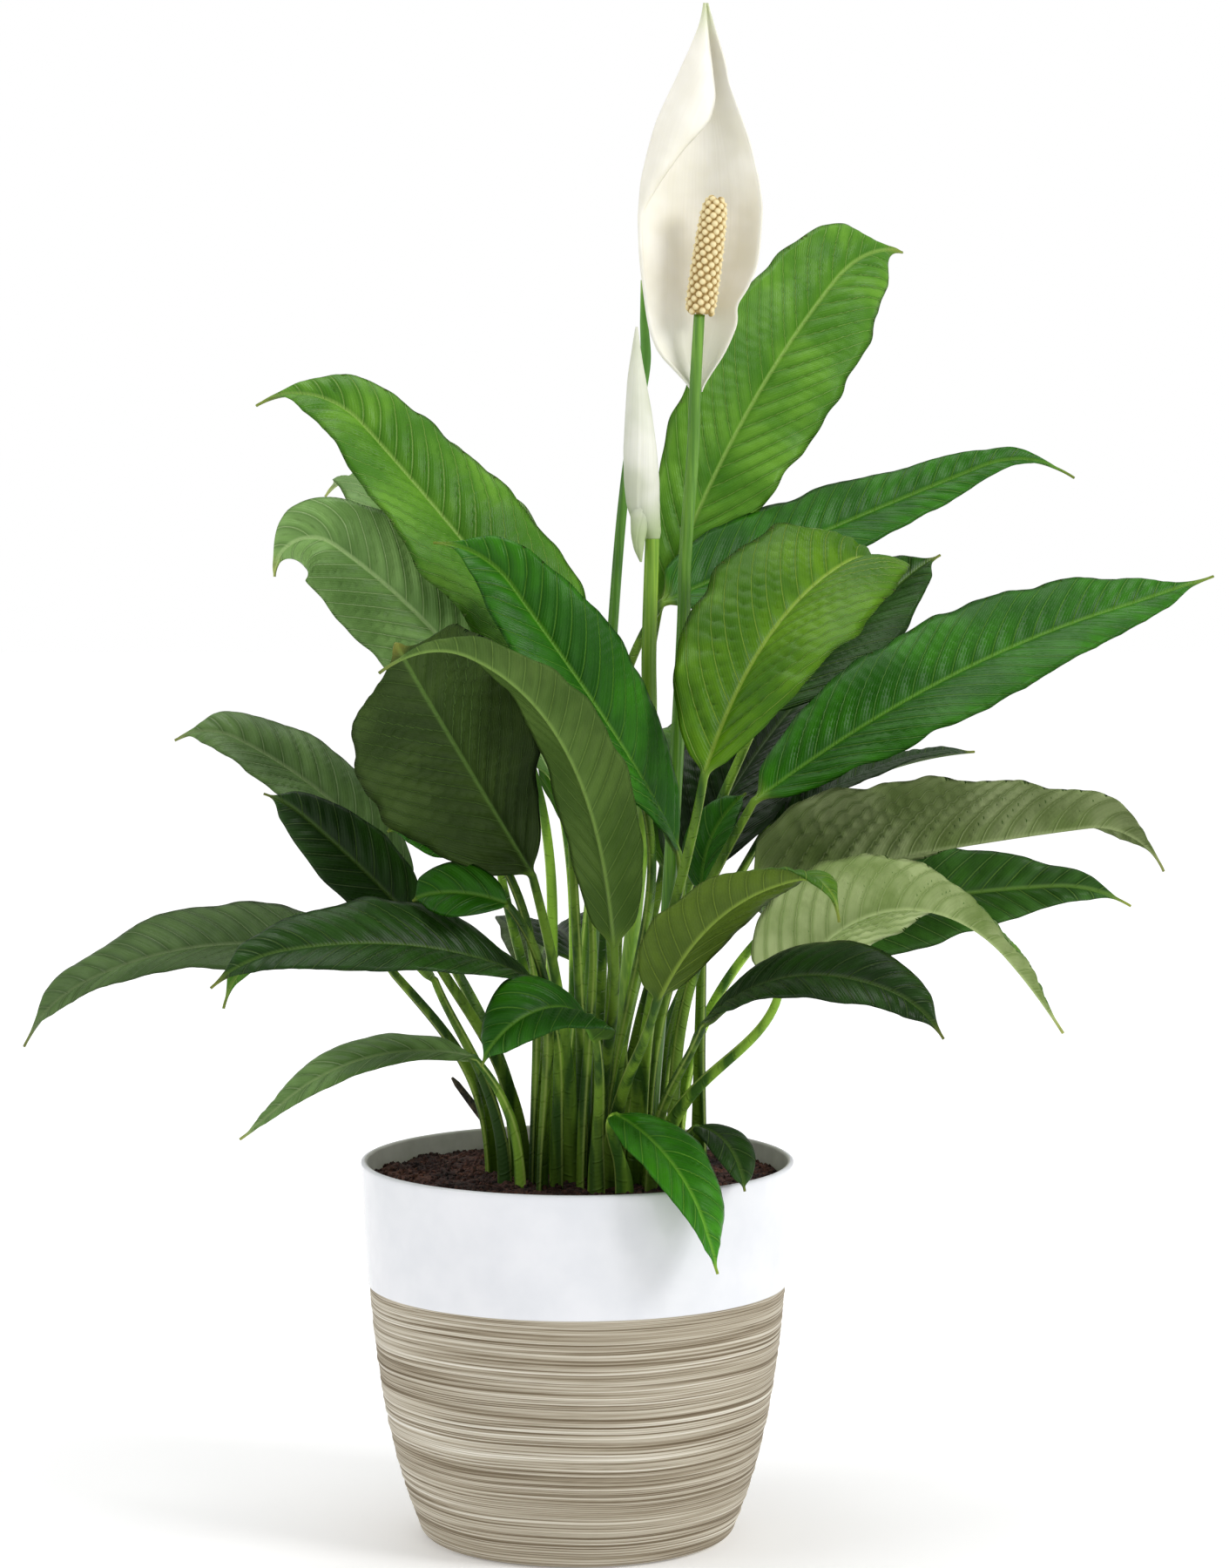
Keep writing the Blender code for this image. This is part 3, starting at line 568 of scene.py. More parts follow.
# Root crown: the woody base that the leaves and flower stems grow from, buried just under the mix. Its
# shape is the frame's own; it gets a fibrous brown bark.
bark_finish, bark_tree, bark_shader = new_finish("fibrous_bark", 0.9)
bark_fibres = add_node(bark_tree, "ShaderNodeGroup", node_tree=strands)
for input_name, value in (("Spacing", 1.2 * MM), ("Run", 3 * MM), ("Lean", 3 * MM), ("Detail", 5.0)):
    bark_fibres.inputs[input_name].default_value = value
bark_tree.links.new(
    mix_colours(bark_tree, step_between(bark_tree, bark_fibres.outputs[0], 0.3, 0.7),
                colour(38, 24, 16), colour(104, 78, 50)),
    bark_shader.inputs["Base Color"],
)
bark_bump = add_node(
    bark_tree, "ShaderNodeBump", {"Height": bark_fibres.outputs[0], "Strength": 0.7, "Distance": 1 * MM}
)
bark_tree.links.new(bark_bump.outputs[0], bark_shader.inputs["Normal"])
for material_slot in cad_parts["root_crown"].material_slots:
    material_slot.material = bark_finish


# Leaves: thin leathery blades on grooved stalks that sheathe each other at the foot. Each blade has a
# midrib standing proud underneath, side veins pressed into the top so that the surface is pleated
# between them, and a waved margin. The top is glossy and the underside is paler and duller.
SEAT_SPACING = 10.5 * MM
SEAT_DEPTH = 9.7 * MM
crown_low, crown_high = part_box("root_crown")
CROWN_MIDDLE = ((crown_low.x + crown_high.x) / 2, (crown_low.y + crown_high.y) / 2, crown_high.z)
STALK_FOOT_RADIUS = 2.9 * MM
STALK_NECK_RADIUS = 1.7 * MM
STALK_RISE = 0.45
STALK_APPROACH = 0.3
STALK_LIFT = 0.8
STALK_RINGS = 30
BLADE_RINGS = 150
HALF_COLUMNS = 12
BLADE_THICKNESS = 0.8 * MM
MIDRIB_DEPTH = 1.5 * MM
BLADE_CROWN = 0.08
TIP_HALF_WIDTH = 0.5 * MM
OUTLINE_POWER = 1.6
SCALLOP_DEPTH = 0.024
TAIL_SHARE = 0.72
CURL_START = 0.78
TAIL_START, TAIL_END = 0.87, 0.97
MARGIN_CROWDING = 1.5
SCALLOP_WAVES = ((17 * MM, 0.5), (29 * MM, 0.8), (47 * MM, 0.6))
KEEL_SPREAD = 1.5 * MM
GROOVE_DEPTH = 0.45 * MM
GROOVE_SPREAD = 0.8 * MM
LEAF_SPECULAR = 0.16
LEAF_PATCH_SCALE = 38.0
LEAF_CELL_SCALE = 900.0
PLEAT_CREASE_SHADE = 0.7
SMALL_VEIN_TINT = 0.05
SIDE_VEIN_TINT = 0.5
MIDRIB_TINT = 0.65
TIP_TINT = 0.6
TIP_TINT_START = 0.93
LEAF_BUMP_DEPTH = 0.35 * MM
DROOP_POWER = 1.2

# One row for each leaf. The knee, where the stalk meets the blade, is in millimetres. The midrib sets
# off along the heading at the climb angle, loses the droop angle on its way to the tip and turns by the
# sweep, and its last fifth bends down by the curl. Roll turns the blade about its midrib, twist adds to
# it on the way to the tip, and fold lifts the two halves. Shade darkens or lightens the leaf's tone; it
# is partly the leaf's own colour and partly painted light and shade, lighter for leaves in the light
# and darker for leaves in shadow.
Leaf = namedtuple(
    "Leaf", "name seat knee heading climb droop sweep curl length width widest roll twist fold tone shade",
    defaults=(1.0,),
)
LEAVES = (
    # Left side, from the top down
    Leaf("upper_left", (1, 5), (25, -55, 309), -165, 57, 14, -40, 70, 228, 62, 0.44, 54, -20, 12, "fresh"),
    Leaf("back_strip", (1, 3), (0, 8, 344), 180, 60, 20, -10, 40, 150, 50, 0.42, 44, 0, 10, "grey", 1.6),
    Leaf("pale_tipped", (2, 10), (40, -64, 284), -126, 55, 0, -75, 55, 165, 50, 0.42, 62, 0, 16, "bright"),
    Leaf("grey_left", (2, 6), (-18, 0, 312), -180, 60, 35, -10, 115, 155, 54, 0.5, 66, 0, 10, "grey", 1.9),
    Leaf("left_back_lobe", (2, 4), (-9, 60, 300), 130, 50, 15, 0, 75, 212, 50, 0.52, 16, 0, 10, "grey", 1.8),
    Leaf("big_underside", (2, 8), (-17, -55, 274), -119, 43, 5, 6, -3, 148, 76, 0.58, -58, 0, 8, "deep", 1.1),
    Leaf(
        "long_arching", (2, 9), (15, -88, 249), -111, 78, 79, -29, 30, 203, 36, 0.32, -16, 0, 30, "fresh",
        0.62
    ),
    Leaf("dark_behind_arch", (1, 4), (-2, -48, 296), -150, 85, 90, -30, 20, 105, 46, 0.42, 10, 0, 15, "deep"),
    Leaf("mid_left", (3, 9), (-66, 0, 264), 155, 47, 30, 15, 45, 124, 40, 0.5, 32, 0, 12, "grey", 1.05),
    Leaf("dark_left", (3, 10), (-62, -40, 252), -165, 48, 10, -20, 20, 82, 32, 0.42, 68, 0, 8, "deep", 0.8),
    Leaf("lowest_left", (4, 12), (-75, -15, 233), 165, 15, 58, 5, 20, 170, 40, 0.42, 36, 0, 14, "grey", 0.8),
    Leaf("left_front", (3, 12), (-15, -62, 233), -135, 25, 45, -40, 22, 145, 42, 0.46, 34, 0, 12, "deep"),
    Leaf(
        "left_strip", (4, 14), (-56, -36, 231), -130, 40, 86, -20, 30, 120, 26, 0.42, 24, 0, 10, "fresh", 0.8
    ),
    Leaf(
        "lowest_left_small", (4, 15), (-40, -38, 200), -155, 15, 75, -20, -25, 105, 26, 0.42, 22, 0, 10,
        "grey", 1.35
    ),
    Leaf(
        "front_glossy", (4, 18), (8, -66, 211), -110, 50, 120, -55, -5, 76, 38, 0.42, 28, 0, 10, "bright", 0.8
    ),
    Leaf("left_lobe", (3, 11), (-31, -63, 285), -165, 35, 50, 0, 10, 46, 32, 0.52, 52, 0, 10, "bright", 0.8),
    Leaf(
        "left_lobe_low", (4, 16), (-26, -82, 266), -176, 22, 40, 0, 10, 38, 26, 0.52, 50, 0, 10, "bright", 0.6
    ),
    # Right side, from the top down
    Leaf("tall_right", (1, 1), (33, 45, 373), 29, 67, 34, 18, 42, 212, 60, 0.53, -58, 0, 12, "fresh"),
    Leaf(
        "twisted_right", (1, 0), (34, 20, 377), 31, 20, 1, -11, 51, 205, 40, 0.28, -45, 0, 15, "bright", 0.9
    ),
    Leaf("front_olive", (3, 15), (49, -95, 316), 45, 65, 65, 5, 60, 155, 70, 0.52, -20, 0, 12, "olive"),
    Leaf("behind_olive", (2, 1), (74, 15, 333), 40, 33, -2, -4, 13, 115, 46, 0.42, -28, 0, 12, "deep", 1.3),
    Leaf("right_long", (2, 11), (70, -30, 301), 18, 34, 26, 4, -9, 221, 54, 0.42, -38, 0, 12, "bright"),
    Leaf(
        "right_underside", (3, 17), (68, -35, 269), -12, 13, 8, 15, 72, 173, 66, 0.32, 38, 0, 30, "pale", 0.85
    ),
    Leaf(
        "right_pale_low", (3, 16), (79, -56, 227), -42, 54, 124, -5, -22, 171, 56, 0.3, 32, 0, 20, "pale", 1.5
    ),
    Leaf("right_dark_wide", (3, 0), (76, 0, 246), 0, 14, 15, 0, 30, 150, 48, 0.27, -60, 0, 10, "deep", 1.8),
    Leaf(
        "right_low_dark", (4, 20), (49, -80, 219), -50, 38, 75, 25, 20, 125, 34, 0.48, -36, 0, 12, "deep", 0.7
    ),
    Leaf(
        "right_curled_tip", (3, 14), (31, -92, 230), -60, 50, 50, 20, 85, 130, 42, 0.42, 10, 0, 12, "olive",
        0.8
    ),
    Leaf("deep_back_right", (2, 2), (42, 40, 262), 55, 45, 25, 5, 25, 140, 56, 0.42, -20, 0, 15, "deep", 0.5),
    Leaf("thin_back_right", (3, 2), (78, 60, 282), 35, 25, 25, 0, 0, 115, 40, 0.42, 0, 0, 12, "deep"),
    Leaf(
        "hanging_front", (4, 19), (15, -55, 180), -55, -10, 80, 25, -20, 85, 34, 0.42, -4, 0, 10, "bright",
        1.6
    ),
    Leaf(
        "small_hanging_right", (4, 21), (47, -48, 174), -45, 0, 80, -15, -10, 40, 20, 0.42, -4, 0, 8, "deep"
    ),
    # Young leaves in the middle
    Leaf("young_right", (4, 23), (50, -16, 264), 20, 90, 60, 5, -10, 45, 26, 0.42, -20, 0, 10, "bright", 0.9),
    Leaf("young_left", (3, 13), (6, -54, 262), -160, 80, 10, 0, 5, 38, 16, 0.42, 20, 0, 30, "bright", 0.9),
    # Round the back
    Leaf("back_centre", (2, 3), (10, 55, 270), 95, 55, 60, 5, 30, 150, 58, 0.42, 0, 0, 15, "fresh", 0.8),
    Leaf("back_left", (2, 5), (-32, 38, 268), 110, 40, 55, 5, 30, 140, 56, 0.42, 10, 0, 15, "deep", 1.2),
    Leaf("back_right", (3, 4), (35, 60, 265), 70, 45, 60, -5, 30, 150, 58, 0.42, -10, 0, 15, "fresh", 0.8),
    Leaf("back_low", (3, 5), (0, 60, 225), 100, 20, 70, 0, 20, 130, 50, 0.42, 4, 0, 15, "deep", 1.2),
    Leaf("back_low_right", (3, 3), (50, 65, 235), 75, 25, 60, -5, 20, 120, 48, 0.42, -4, 0, 15, "deep", 1.2),
)

# Where a point lies among the side veins, which leave the midrib and bend towards the tip
venation, vein_in, vein_out = new_group(
    "leaf_venation",
    "ShaderNodeTree",
    (("Spacing", "NodeSocketFloat", 9.5 * MM), ("Lean", "NodeSocketFloat", 1.0),
     ("Sweep", "NodeSocketFloat", 13.0),
     ("Vein Width", "NodeSocketFloat", 0.55 * MM), ("Midrib Width", "NodeSocketFloat", 1.3 * MM)),
    (("Side Veins", "NodeSocketFloat"), ("Small Veins", "NodeSocketFloat"), ("Midrib", "NodeSocketFloat"),
     ("Pleat", "NodeSocketFloat")),
)
vein_place = add_node(
    venation, "ShaderNodeSeparateXYZ", {
        0: add_node(venation, "ShaderNodeAttribute", attribute_name="leaf_place").outputs["Vector"]
    }
)
vein_away = calculate(venation, "ABSOLUTE", vein_place.outputs[0])
vein_back = calculate(
    venation, "ADD", calculate(venation, "MULTIPLY", vein_away, vein_in.outputs["Lean"]),
    calculate(
        venation, "MULTIPLY", calculate(venation, "MULTIPLY", vein_away, vein_away), vein_in.outputs["Sweep"]
    ),
)
vein_turn = calculate(
    venation, "DIVIDE", calculate(venation, "SUBTRACT", vein_place.outputs[1], vein_back),
    vein_in.outputs["Spacing"]
)
vein_turn = calculate(
    venation, "ADD", vein_turn, calculate(
        venation, "MULTIPLY", calculate(venation, "SIGN", vein_place.outputs[0]), 0.22
    )
)


def vein_lines(turn, spacing, width):
    """1 along each line of a repeat, fading to 0 over a width."""
    off = calculate(venation, "SUBTRACT", 0.5, calculate(
        venation, "ABSOLUTE", calculate(venation, "SUBTRACT", calculate(venation, "FRACT", turn), 0.5)))
    return step_between(venation, calculate(venation, "MULTIPLY", off, spacing), width, 0.0)


venation.links.new(
    vein_lines(vein_turn, vein_in.outputs["Spacing"], vein_in.outputs["Vein Width"]),
    vein_out.inputs["Side Veins"]
)
small_turn = calculate(venation, "MULTIPLY", vein_turn, 6.0)
venation.links.new(vein_lines(small_turn, 1.6 * MM, 0.5 * MM), vein_out.inputs["Small Veins"])
venation.links.new(
    step_between(venation, vein_away, vein_in.outputs["Midrib Width"], 0.3 * MM), vein_out.inputs["Midrib"]
)
venation.links.new(
    calculate(
        venation, "ABSOLUTE", calculate(venation, "SINE", calculate(venation, "MULTIPLY", vein_turn, math.pi))
    ),
    vein_out.inputs["Pleat"],
)


def tinted(tree, share, strength, body, tint):
    """Lay a tint over a body colour where the share is high."""
    return mix_colours(tree, calculate(tree, "MULTIPLY", share, strength), body, tint)


def leaf_finish(name, light, dark, vein, roughness, relief):
    """A leaf surface: two greens, painted shade in the vein creases, paler veins, yellower tip, and a stalk
    colour towards the foot.
    """
    finish, tree, shader = new_finish(name, roughness)
    shader.inputs["Specular IOR Level"].default_value = LEAF_SPECULAR
    veins = add_node(tree, "ShaderNodeGroup", node_tree=venation)
    shape = add_node(
        tree, "ShaderNodeSeparateXYZ", {
            0: add_node(tree, "ShaderNodeAttribute", attribute_name="leaf_shape").outputs["Vector"]
        }
    )
    place = add_node(tree, "ShaderNodeTexCoord").outputs["Object"]
    patches = add_node(
        tree, "ShaderNodeTexNoise", {"Vector": place, "Scale": LEAF_PATCH_SCALE, "Detail": 3.0}
    )
    cells = add_node(tree, "ShaderNodeTexNoise", {"Vector": place, "Scale": LEAF_CELL_SCALE, "Detail": 3.0})
    body = mix_colours(tree, step_between(tree, patches.outputs[0], 0.3, 0.7), light, dark)
    # Painted shade: darker along the side veins, in the creases that the pleats press into the blade.
    body = tinted(tree, step_between(tree, veins.outputs["Pleat"], 0.85, 0.15), PLEAT_CREASE_SHADE, body, dark)
    body = tinted(tree, veins.outputs["Small Veins"], SMALL_VEIN_TINT, body, vein)
    body = tinted(tree, veins.outputs["Side Veins"], SIDE_VEIN_TINT, body, vein)
    body = tinted(tree, veins.outputs["Midrib"], MIDRIB_TINT, body, vein)
    tip = step_between(tree, shape.outputs[0], TIP_TINT_START, 1.0)
    body = tinted(tree, tip, TIP_TINT, body, colour(128, 128, 52))
    streaks = add_node(tree, "ShaderNodeTexNoise", {
        "Vector": add_node(tree, "ShaderNodeMapping", {"Vector": place, "Scale": (120, 120, 9)}).outputs[0],
        "Scale": 1.0, "Detail": 3.0,
    })
    stalk = mix_colours(
        tree, step_between(tree, streaks.outputs[0], 0.38, 0.62), colour(112, 148, 46), colour(48, 82, 24)
    )
    across = add_node(
        tree, "ShaderNodeSeparateXYZ", {
            0: add_node(tree, "ShaderNodeAttribute", attribute_name="leaf_place").outputs["Vector"]
        }
    )
    sheath_edge = calculate(tree, "MULTIPLY", step_between(tree, across.outputs[2], 0.7, 0.98), 0.55)
    stalk = mix_colours(tree, sheath_edge, stalk, colour(168, 188, 96))
    body = mix_colours(tree, shape.outputs[1], body, stalk)
    # The leaf's shade scales its colour: partly its own tone, partly painted light and shade.
    shaded = add_node(tree, "ShaderNodeHueSaturation", {"Color": body, "Value": shape.outputs[2]})
    tree.links.new(shaded.outputs[0], shader.inputs["Base Color"])
    tree.links.new(
        calculate(tree, "ADD", calculate(tree, "MULTIPLY", patches.outputs[0], 0.16), roughness - 0.08),
        shader.inputs["Roughness"],
    )
    height = calculate(
        tree, "ADD",
        calculate(tree, "MULTIPLY", veins.outputs["Small Veins"], -0.25 * relief),
        calculate(tree, "ADD", calculate(tree, "MULTIPLY", veins.outputs["Side Veins"], -relief),
                  calculate(tree, "MULTIPLY", cells.outputs[0], 0.25)),
    )
    bump = add_node(tree, "ShaderNodeBump", {"Height": height, "Strength": 0.7, "Distance": LEAF_BUMP_DEPTH})
    tree.links.new(bump.outputs[0], shader.inputs["Normal"])
    return finish


LEAF_TONES = {
    "fresh": (
        colour(98, 148, 42), colour(60, 112, 18), colour(146, 182, 86), colour(98, 130, 54),
        colour(72, 104, 34)
    ),
    "bright": (
        colour(50, 116, 12), colour(28, 82, 6), colour(104, 156, 48), colour(78, 112, 38), colour(54, 86, 24)
    ),
    "olive": (
        colour(88, 132, 16), colour(56, 100, 8), colour(146, 174, 66), colour(92, 118, 32), colour(70, 94, 22)
    ),
    "grey": (
        colour(98, 128, 70), colour(66, 94, 44), colour(138, 160, 108), colour(110, 128, 86),
        colour(84, 102, 60)
    ),
    "pale": (
        colour(72, 104, 34), colour(50, 80, 20), colour(156, 172, 116), colour(142, 156, 106),
        colour(98, 118, 60)
    ),
    "deep": (
        colour(40, 76, 20), colour(20, 46, 8), colour(82, 112, 46), colour(56, 76, 28), colour(38, 56, 16)
    ),
}
leaf_finishes = {
    tone: (
        leaf_finish("leaf_top_" + tone, light, dark, vein, 0.36, 1.0),
        leaf_finish("leaf_underside_" + tone, under_light, under_dark, vein, 0.55, -1.0),
    )
    for tone, (light, dark, vein, under_light, under_dark) in LEAF_TONES.items()
}

relief, relief_in, relief_out = new_group(
    "leaf_relief",
    "GeometryNodeTree",
    (("Geometry", "NodeSocketGeometry", None), ("Vein Spacing", "NodeSocketFloat", 9.5 * MM),
     ("Vein Lean", "NodeSocketFloat", 1.0), ("Vein Sweep", "NodeSocketFloat", 13.0),
     ("Pleat Height", "NodeSocketFloat", 0.9 * MM), ("Wave Height", "NodeSocketFloat", 3.0 * MM),
     ("Wave Length", "NodeSocketFloat", 26 * MM), ("Seed", "NodeSocketFloat", 0.0),
     ("Top Finish", "NodeSocketMaterial", None), ("Underside Finish", "NodeSocketMaterial", None)),
    (("Geometry", "NodeSocketGeometry"),),
)


def leaf_value(name, kind="FLOAT_VECTOR"):
    """A stored value of the leaf, as vector parts or a number."""
    stored = add_node(relief, "GeometryNodeInputNamedAttribute", {"Name": name}, data_type=kind)
    return stored.outputs["Attribute"]


relief_place = add_node(relief, "ShaderNodeSeparateXYZ", {0: leaf_value("leaf_place")})
relief_shape = add_node(relief, "ShaderNodeSeparateXYZ", {0: leaf_value("leaf_shape")})
relief_away = calculate(relief, "ABSOLUTE", relief_place.outputs[0])
relief_side = calculate(relief, "SIGN", relief_place.outputs[0])
relief_back = calculate(
    relief, "ADD", calculate(relief, "MULTIPLY", relief_away, relief_in.outputs["Vein Lean"]),
    calculate(
        relief, "MULTIPLY", calculate(relief, "MULTIPLY", relief_away, relief_away),
        relief_in.outputs["Vein Sweep"]
    ),
)
relief_turn = calculate(
    relief, "ADD",
    calculate(relief, "DIVIDE", calculate(relief, "SUBTRACT", relief_place.outputs[1], relief_back),
              relief_in.outputs["Vein Spacing"]),
    calculate(relief, "MULTIPLY", relief_side, 0.22),
)
relief_pleat = calculate(relief, "POWER", calculate(
    relief, "ABSOLUTE", calculate(relief, "SINE", calculate(relief, "MULTIPLY", relief_turn, math.pi))), 0.7)
relief_ends = calculate(
    relief, "MULTIPLY", step_between(relief, relief_shape.outputs[0], 0.02, 0.14),
    step_between(relief, relief_shape.outputs[0], 1.0, 0.86),
)
relief_fade = calculate(
    relief, "MULTIPLY", relief_ends,
    calculate(relief, "MULTIPLY", step_between(relief, relief_away, 0.6 * MM, 5 * MM),
              step_between(relief, relief_place.outputs[2], 1.15, 0.45)),
)
pleat_lift = calculate(
    relief, "MULTIPLY", calculate(
        relief, "MULTIPLY", calculate(relief, "SUBTRACT", relief_pleat, 0.6), relief_fade
    ),
    relief_in.outputs["Pleat Height"],
)
wave_place = add_node(relief, "ShaderNodeCombineXYZ", {
    0: calculate(relief, "DIVIDE", relief_place.outputs[1], relief_in.outputs["Wave Length"]),
    1: calculate(relief, "MULTIPLY", relief_side, 3.7),
    2: relief_in.outputs["Seed"],
})
wave_noise = add_node(
    relief, "ShaderNodeTexNoise", {"Vector": wave_place.outputs[0], "Scale": 1.0, "Detail": 1.0}
)
wave_lift = calculate(
    relief, "MULTIPLY",
    calculate(relief, "MULTIPLY", calculate(relief, "SUBTRACT", wave_noise.outputs[0], 0.5), relief_ends),
    calculate(relief, "MULTIPLY", calculate(relief, "POWER", relief_place.outputs[2], 2.2),
              calculate(relief, "MULTIPLY", relief_in.outputs["Wave Height"], 4.0)),
)
relief_offset = add_node(
    relief, "ShaderNodeVectorMath",
    {0: leaf_value("leaf_up"), "Scale": calculate(relief, "ADD", pleat_lift, wave_lift)}, operation="SCALE",
)
relief_moved = add_node(relief, "GeometryNodeSetPosition", {
    "Geometry": relief_in.outputs["Geometry"], "Offset": relief_offset.outputs[0],
})
relief_real = add_node(relief, "GeometryNodeRealizeInstances", {0: relief_moved.outputs[0]})
relief_under = add_node(relief, "GeometryNodeSetMaterial", {
    "Geometry": relief_real.outputs[0], "Material": relief_in.outputs["Underside Finish"],
})
relief_top = add_node(relief, "GeometryNodeSetMaterial", {
    "Geometry": relief_under.outputs[0], "Selection": leaf_value("top_face", "BOOLEAN"),
    "Material": relief_in.outputs["Top Finish"],
})
relief.links.new(relief_top.outputs[0], relief_out.inputs["Geometry"])


def unit(vectors):
    return vectors / np.linalg.norm(vectors, axis=-1, keepdims=True)


def seat_place(seat):
    """The middle of a seat: ring k has 6k seats, round the middle of the crown."""
    ring, place = seat
    angle = math.tau * place / (6 * ring) if ring else 0
    reach = ring * SEAT_SPACING
    return np.array(CROWN_MIDDLE) + np.array((reach * math.cos(angle), reach * math.sin(angle), 0))


def blade_outline(share, width, widest_at, power):
    """Half width of a blade that is widest at one place and comes to a point at each end."""
    rise = (share / widest_at) ** (widest_at * power)
    fall = ((1 - share) / (1 - widest_at)) ** ((1 - widest_at) * power)
    return width / 2 * rise * fall


def smooth(value, low, high):
    """0 at low, 1 at high, and a smooth step between them."""
    share = np.clip((value - low) / (high - low), 0, 1)
    return share * share * (3 - 2 * share)


def midrib(leaf):
    """Places, tangents, and sideways and upward directions along a leaf's blade."""
    share = (np.arange(BLADE_RINGS * 2) + 0.5) / (BLADE_RINGS * 2)
    curled = np.clip((share - CURL_START) / (1 - CURL_START), 0, 1)
    rise = np.radians(leaf.climb - leaf.droop * share**DROOP_POWER - leaf.curl * curled)
    bearing = np.radians(leaf.heading + leaf.sweep * share)
    steps = np.stack((np.cos(rise) * np.cos(bearing), np.cos(rise) * np.sin(bearing), np.sin(rise)), axis=1)
    run = np.concatenate((np.zeros((1, 3)), np.cumsum(steps, axis=0))) * leaf.length * MM / len(share)
    stations = np.linspace(0, 1, BLADE_RINGS)
    along = np.linspace(0, 1, len(run))
    places = np.stack([np.interp(stations, along, run[:, axis]) for axis in range(3)], axis=1)
    tangents = unit(np.stack([np.interp(stations, share, steps[:, axis]) for axis in range(3)], axis=1))
    turn = np.interp(stations, share, bearing)
    side = np.stack((np.sin(turn), -np.cos(turn), np.zeros_like(turn)), axis=1)
    normal = np.cross(side, tangents)
    roll = np.radians(leaf.roll + leaf.twist * stations)[:, None]
    across = side * np.cos(roll) + normal * np.sin(roll)
    upward = normal * np.cos(roll) - side * np.sin(roll)
    return stations, np.array(leaf.knee) * MM + places, tangents, across, upward


def build_leaf(leaf, order):
    """One leaf as one closed mesh: a stalk of round section that flattens into the blade."""
    stations, places, tangents, across, upward = midrib(leaf)
    seat = seat_place(leaf.seat)
    knee = places[0]
    reach = np.linalg.norm(knee - seat)
    arrival = unit(tangents[0] + np.array((0, 0, STALK_LIFT)))
    rising = seat + np.array((0, 0, STALK_RISE * reach))
    arriving = knee - arrival * STALK_APPROACH * reach
    share = np.linspace(0, 1, STALK_RINGS)[:-1, None]
    stalk = (
        (1 - share) ** 3 * seat
        + 3 * share * (1 - share) ** 2 * rising
        + 3 * share**2 * (1 - share) * arriving
        + share**3 * knee
    )
    stalk = np.concatenate(([seat - np.array((0, 0, SEAT_DEPTH))], stalk))
    stalk_tangents = unit(np.gradient(stalk, axis=0))
    stalk_across = unit(across[0] - stalk_tangents * (stalk_tangents @ across[0])[:, None])
    stalk_upward = np.cross(stalk_across, stalk_tangents)
    stalk_share = np.concatenate(([0], share[:, 0]))

    centres = np.concatenate((stalk, places))
    sideways = np.concatenate((stalk_across, across))[:, None]
    up = np.concatenate((stalk_upward, upward))[:, None]
    blade_share = np.concatenate((np.zeros(len(stalk)), stations))[:, None]
    foot_share = np.concatenate((stalk_share, np.ones(len(stations))))[:, None]
    on_stalk = np.concatenate((np.ones(len(stalk)), 1 - smooth(stations, 0.0, 0.05)))[:, None]

    half_width = blade_outline(stations, leaf.width * MM, leaf.widest, OUTLINE_POWER)
    half_width = half_width * (1 - TAIL_SHARE * smooth(stations, TAIL_START, TAIL_END))
    half_width = np.maximum(half_width, np.maximum(STALK_NECK_RADIUS * (1 - stations), TIP_HALF_WIDTH))
    half_width = np.concatenate((np.full(len(stalk), STALK_NECK_RADIUS), half_width))[:, None]
    radius = np.interp(foot_share, (0, 1), (STALK_FOOT_RADIUS, STALK_NECK_RADIUS))

    spread = np.linspace(-1, 1, 2 * HALF_COLUMNS + 1)
    spread = np.concatenate((spread, spread[-2:0:-1]))
    lower = np.concatenate((np.zeros(2 * HALF_COLUMNS + 1), np.ones(2 * HALF_COLUMNS - 1)))
    edge = np.abs(spread) ** MARGIN_CROWDING
    signed = np.sign(spread) * edge

    # The margin bulges a little between one side vein and the next, out of step on the two sides
    length_along = blade_share * leaf.length * MM
    scallop = np.zeros((len(centres), len(spread)))
    for wave_length, weight in SCALLOP_WAVES:
        phase = order * 1.7 + 40 * MM / wave_length + (spread > 0) * 2.3
        scallop += weight * np.sin(math.tau * length_along / wave_length + phase)
    swing = smooth(blade_share, 0.03, 0.2) * (1 - smooth(blade_share, 0.85, 0.97))
    half_width = half_width * (1 + SCALLOP_DEPTH * scallop * swing * edge**2)

    fold = math.radians(leaf.fold)
    away = np.abs(signed) * half_width
    lift = away * math.sin(fold) + 4 * edge * (1 - edge) * half_width * BLADE_CROWN
    body = BLADE_THICKNESS / 2 * (1 - edge**6)
    neck_flare = (STALK_NECK_RADIUS - MIDRIB_DEPTH / 2) * (1 - blade_share) ** 4
    keel = (MIDRIB_DEPTH + neck_flare) * (1 - 0.6 * blade_share)
    keel = keel * np.exp(-((away / KEEL_SPREAD) ** 2))
    groove = GROOVE_DEPTH * np.exp(-((away / GROOVE_SPREAD) ** 2))
    sheet_up = lift + np.where(lower > 0, -body - keel, body - groove)
    sheet_out = signed * half_width * math.cos(fold)

    sheath = 1 - smooth(foot_share, 0.05, 0.42)
    round_out = radius * np.sin(spread * math.pi / 2) * (1 + 0.5 * sheath)
    hollow = (0.35 + 0.9 * sheath) * np.exp(-((spread / 0.45) ** 2))
    round_up = radius * np.cos(spread * math.pi / 2) * np.where(lower > 0, -1.0, 1.0 - 0.35 * sheath)
    round_up = round_up - np.where(lower > 0, 0, radius * hollow)
    out = sheet_out * (1 - on_stalk) + round_out * on_stalk
    rise = sheet_up * (1 - on_stalk) + round_up * on_stalk
    points = centres[:, None] + sideways * out[:, :, None] + up * rise[:, :, None]

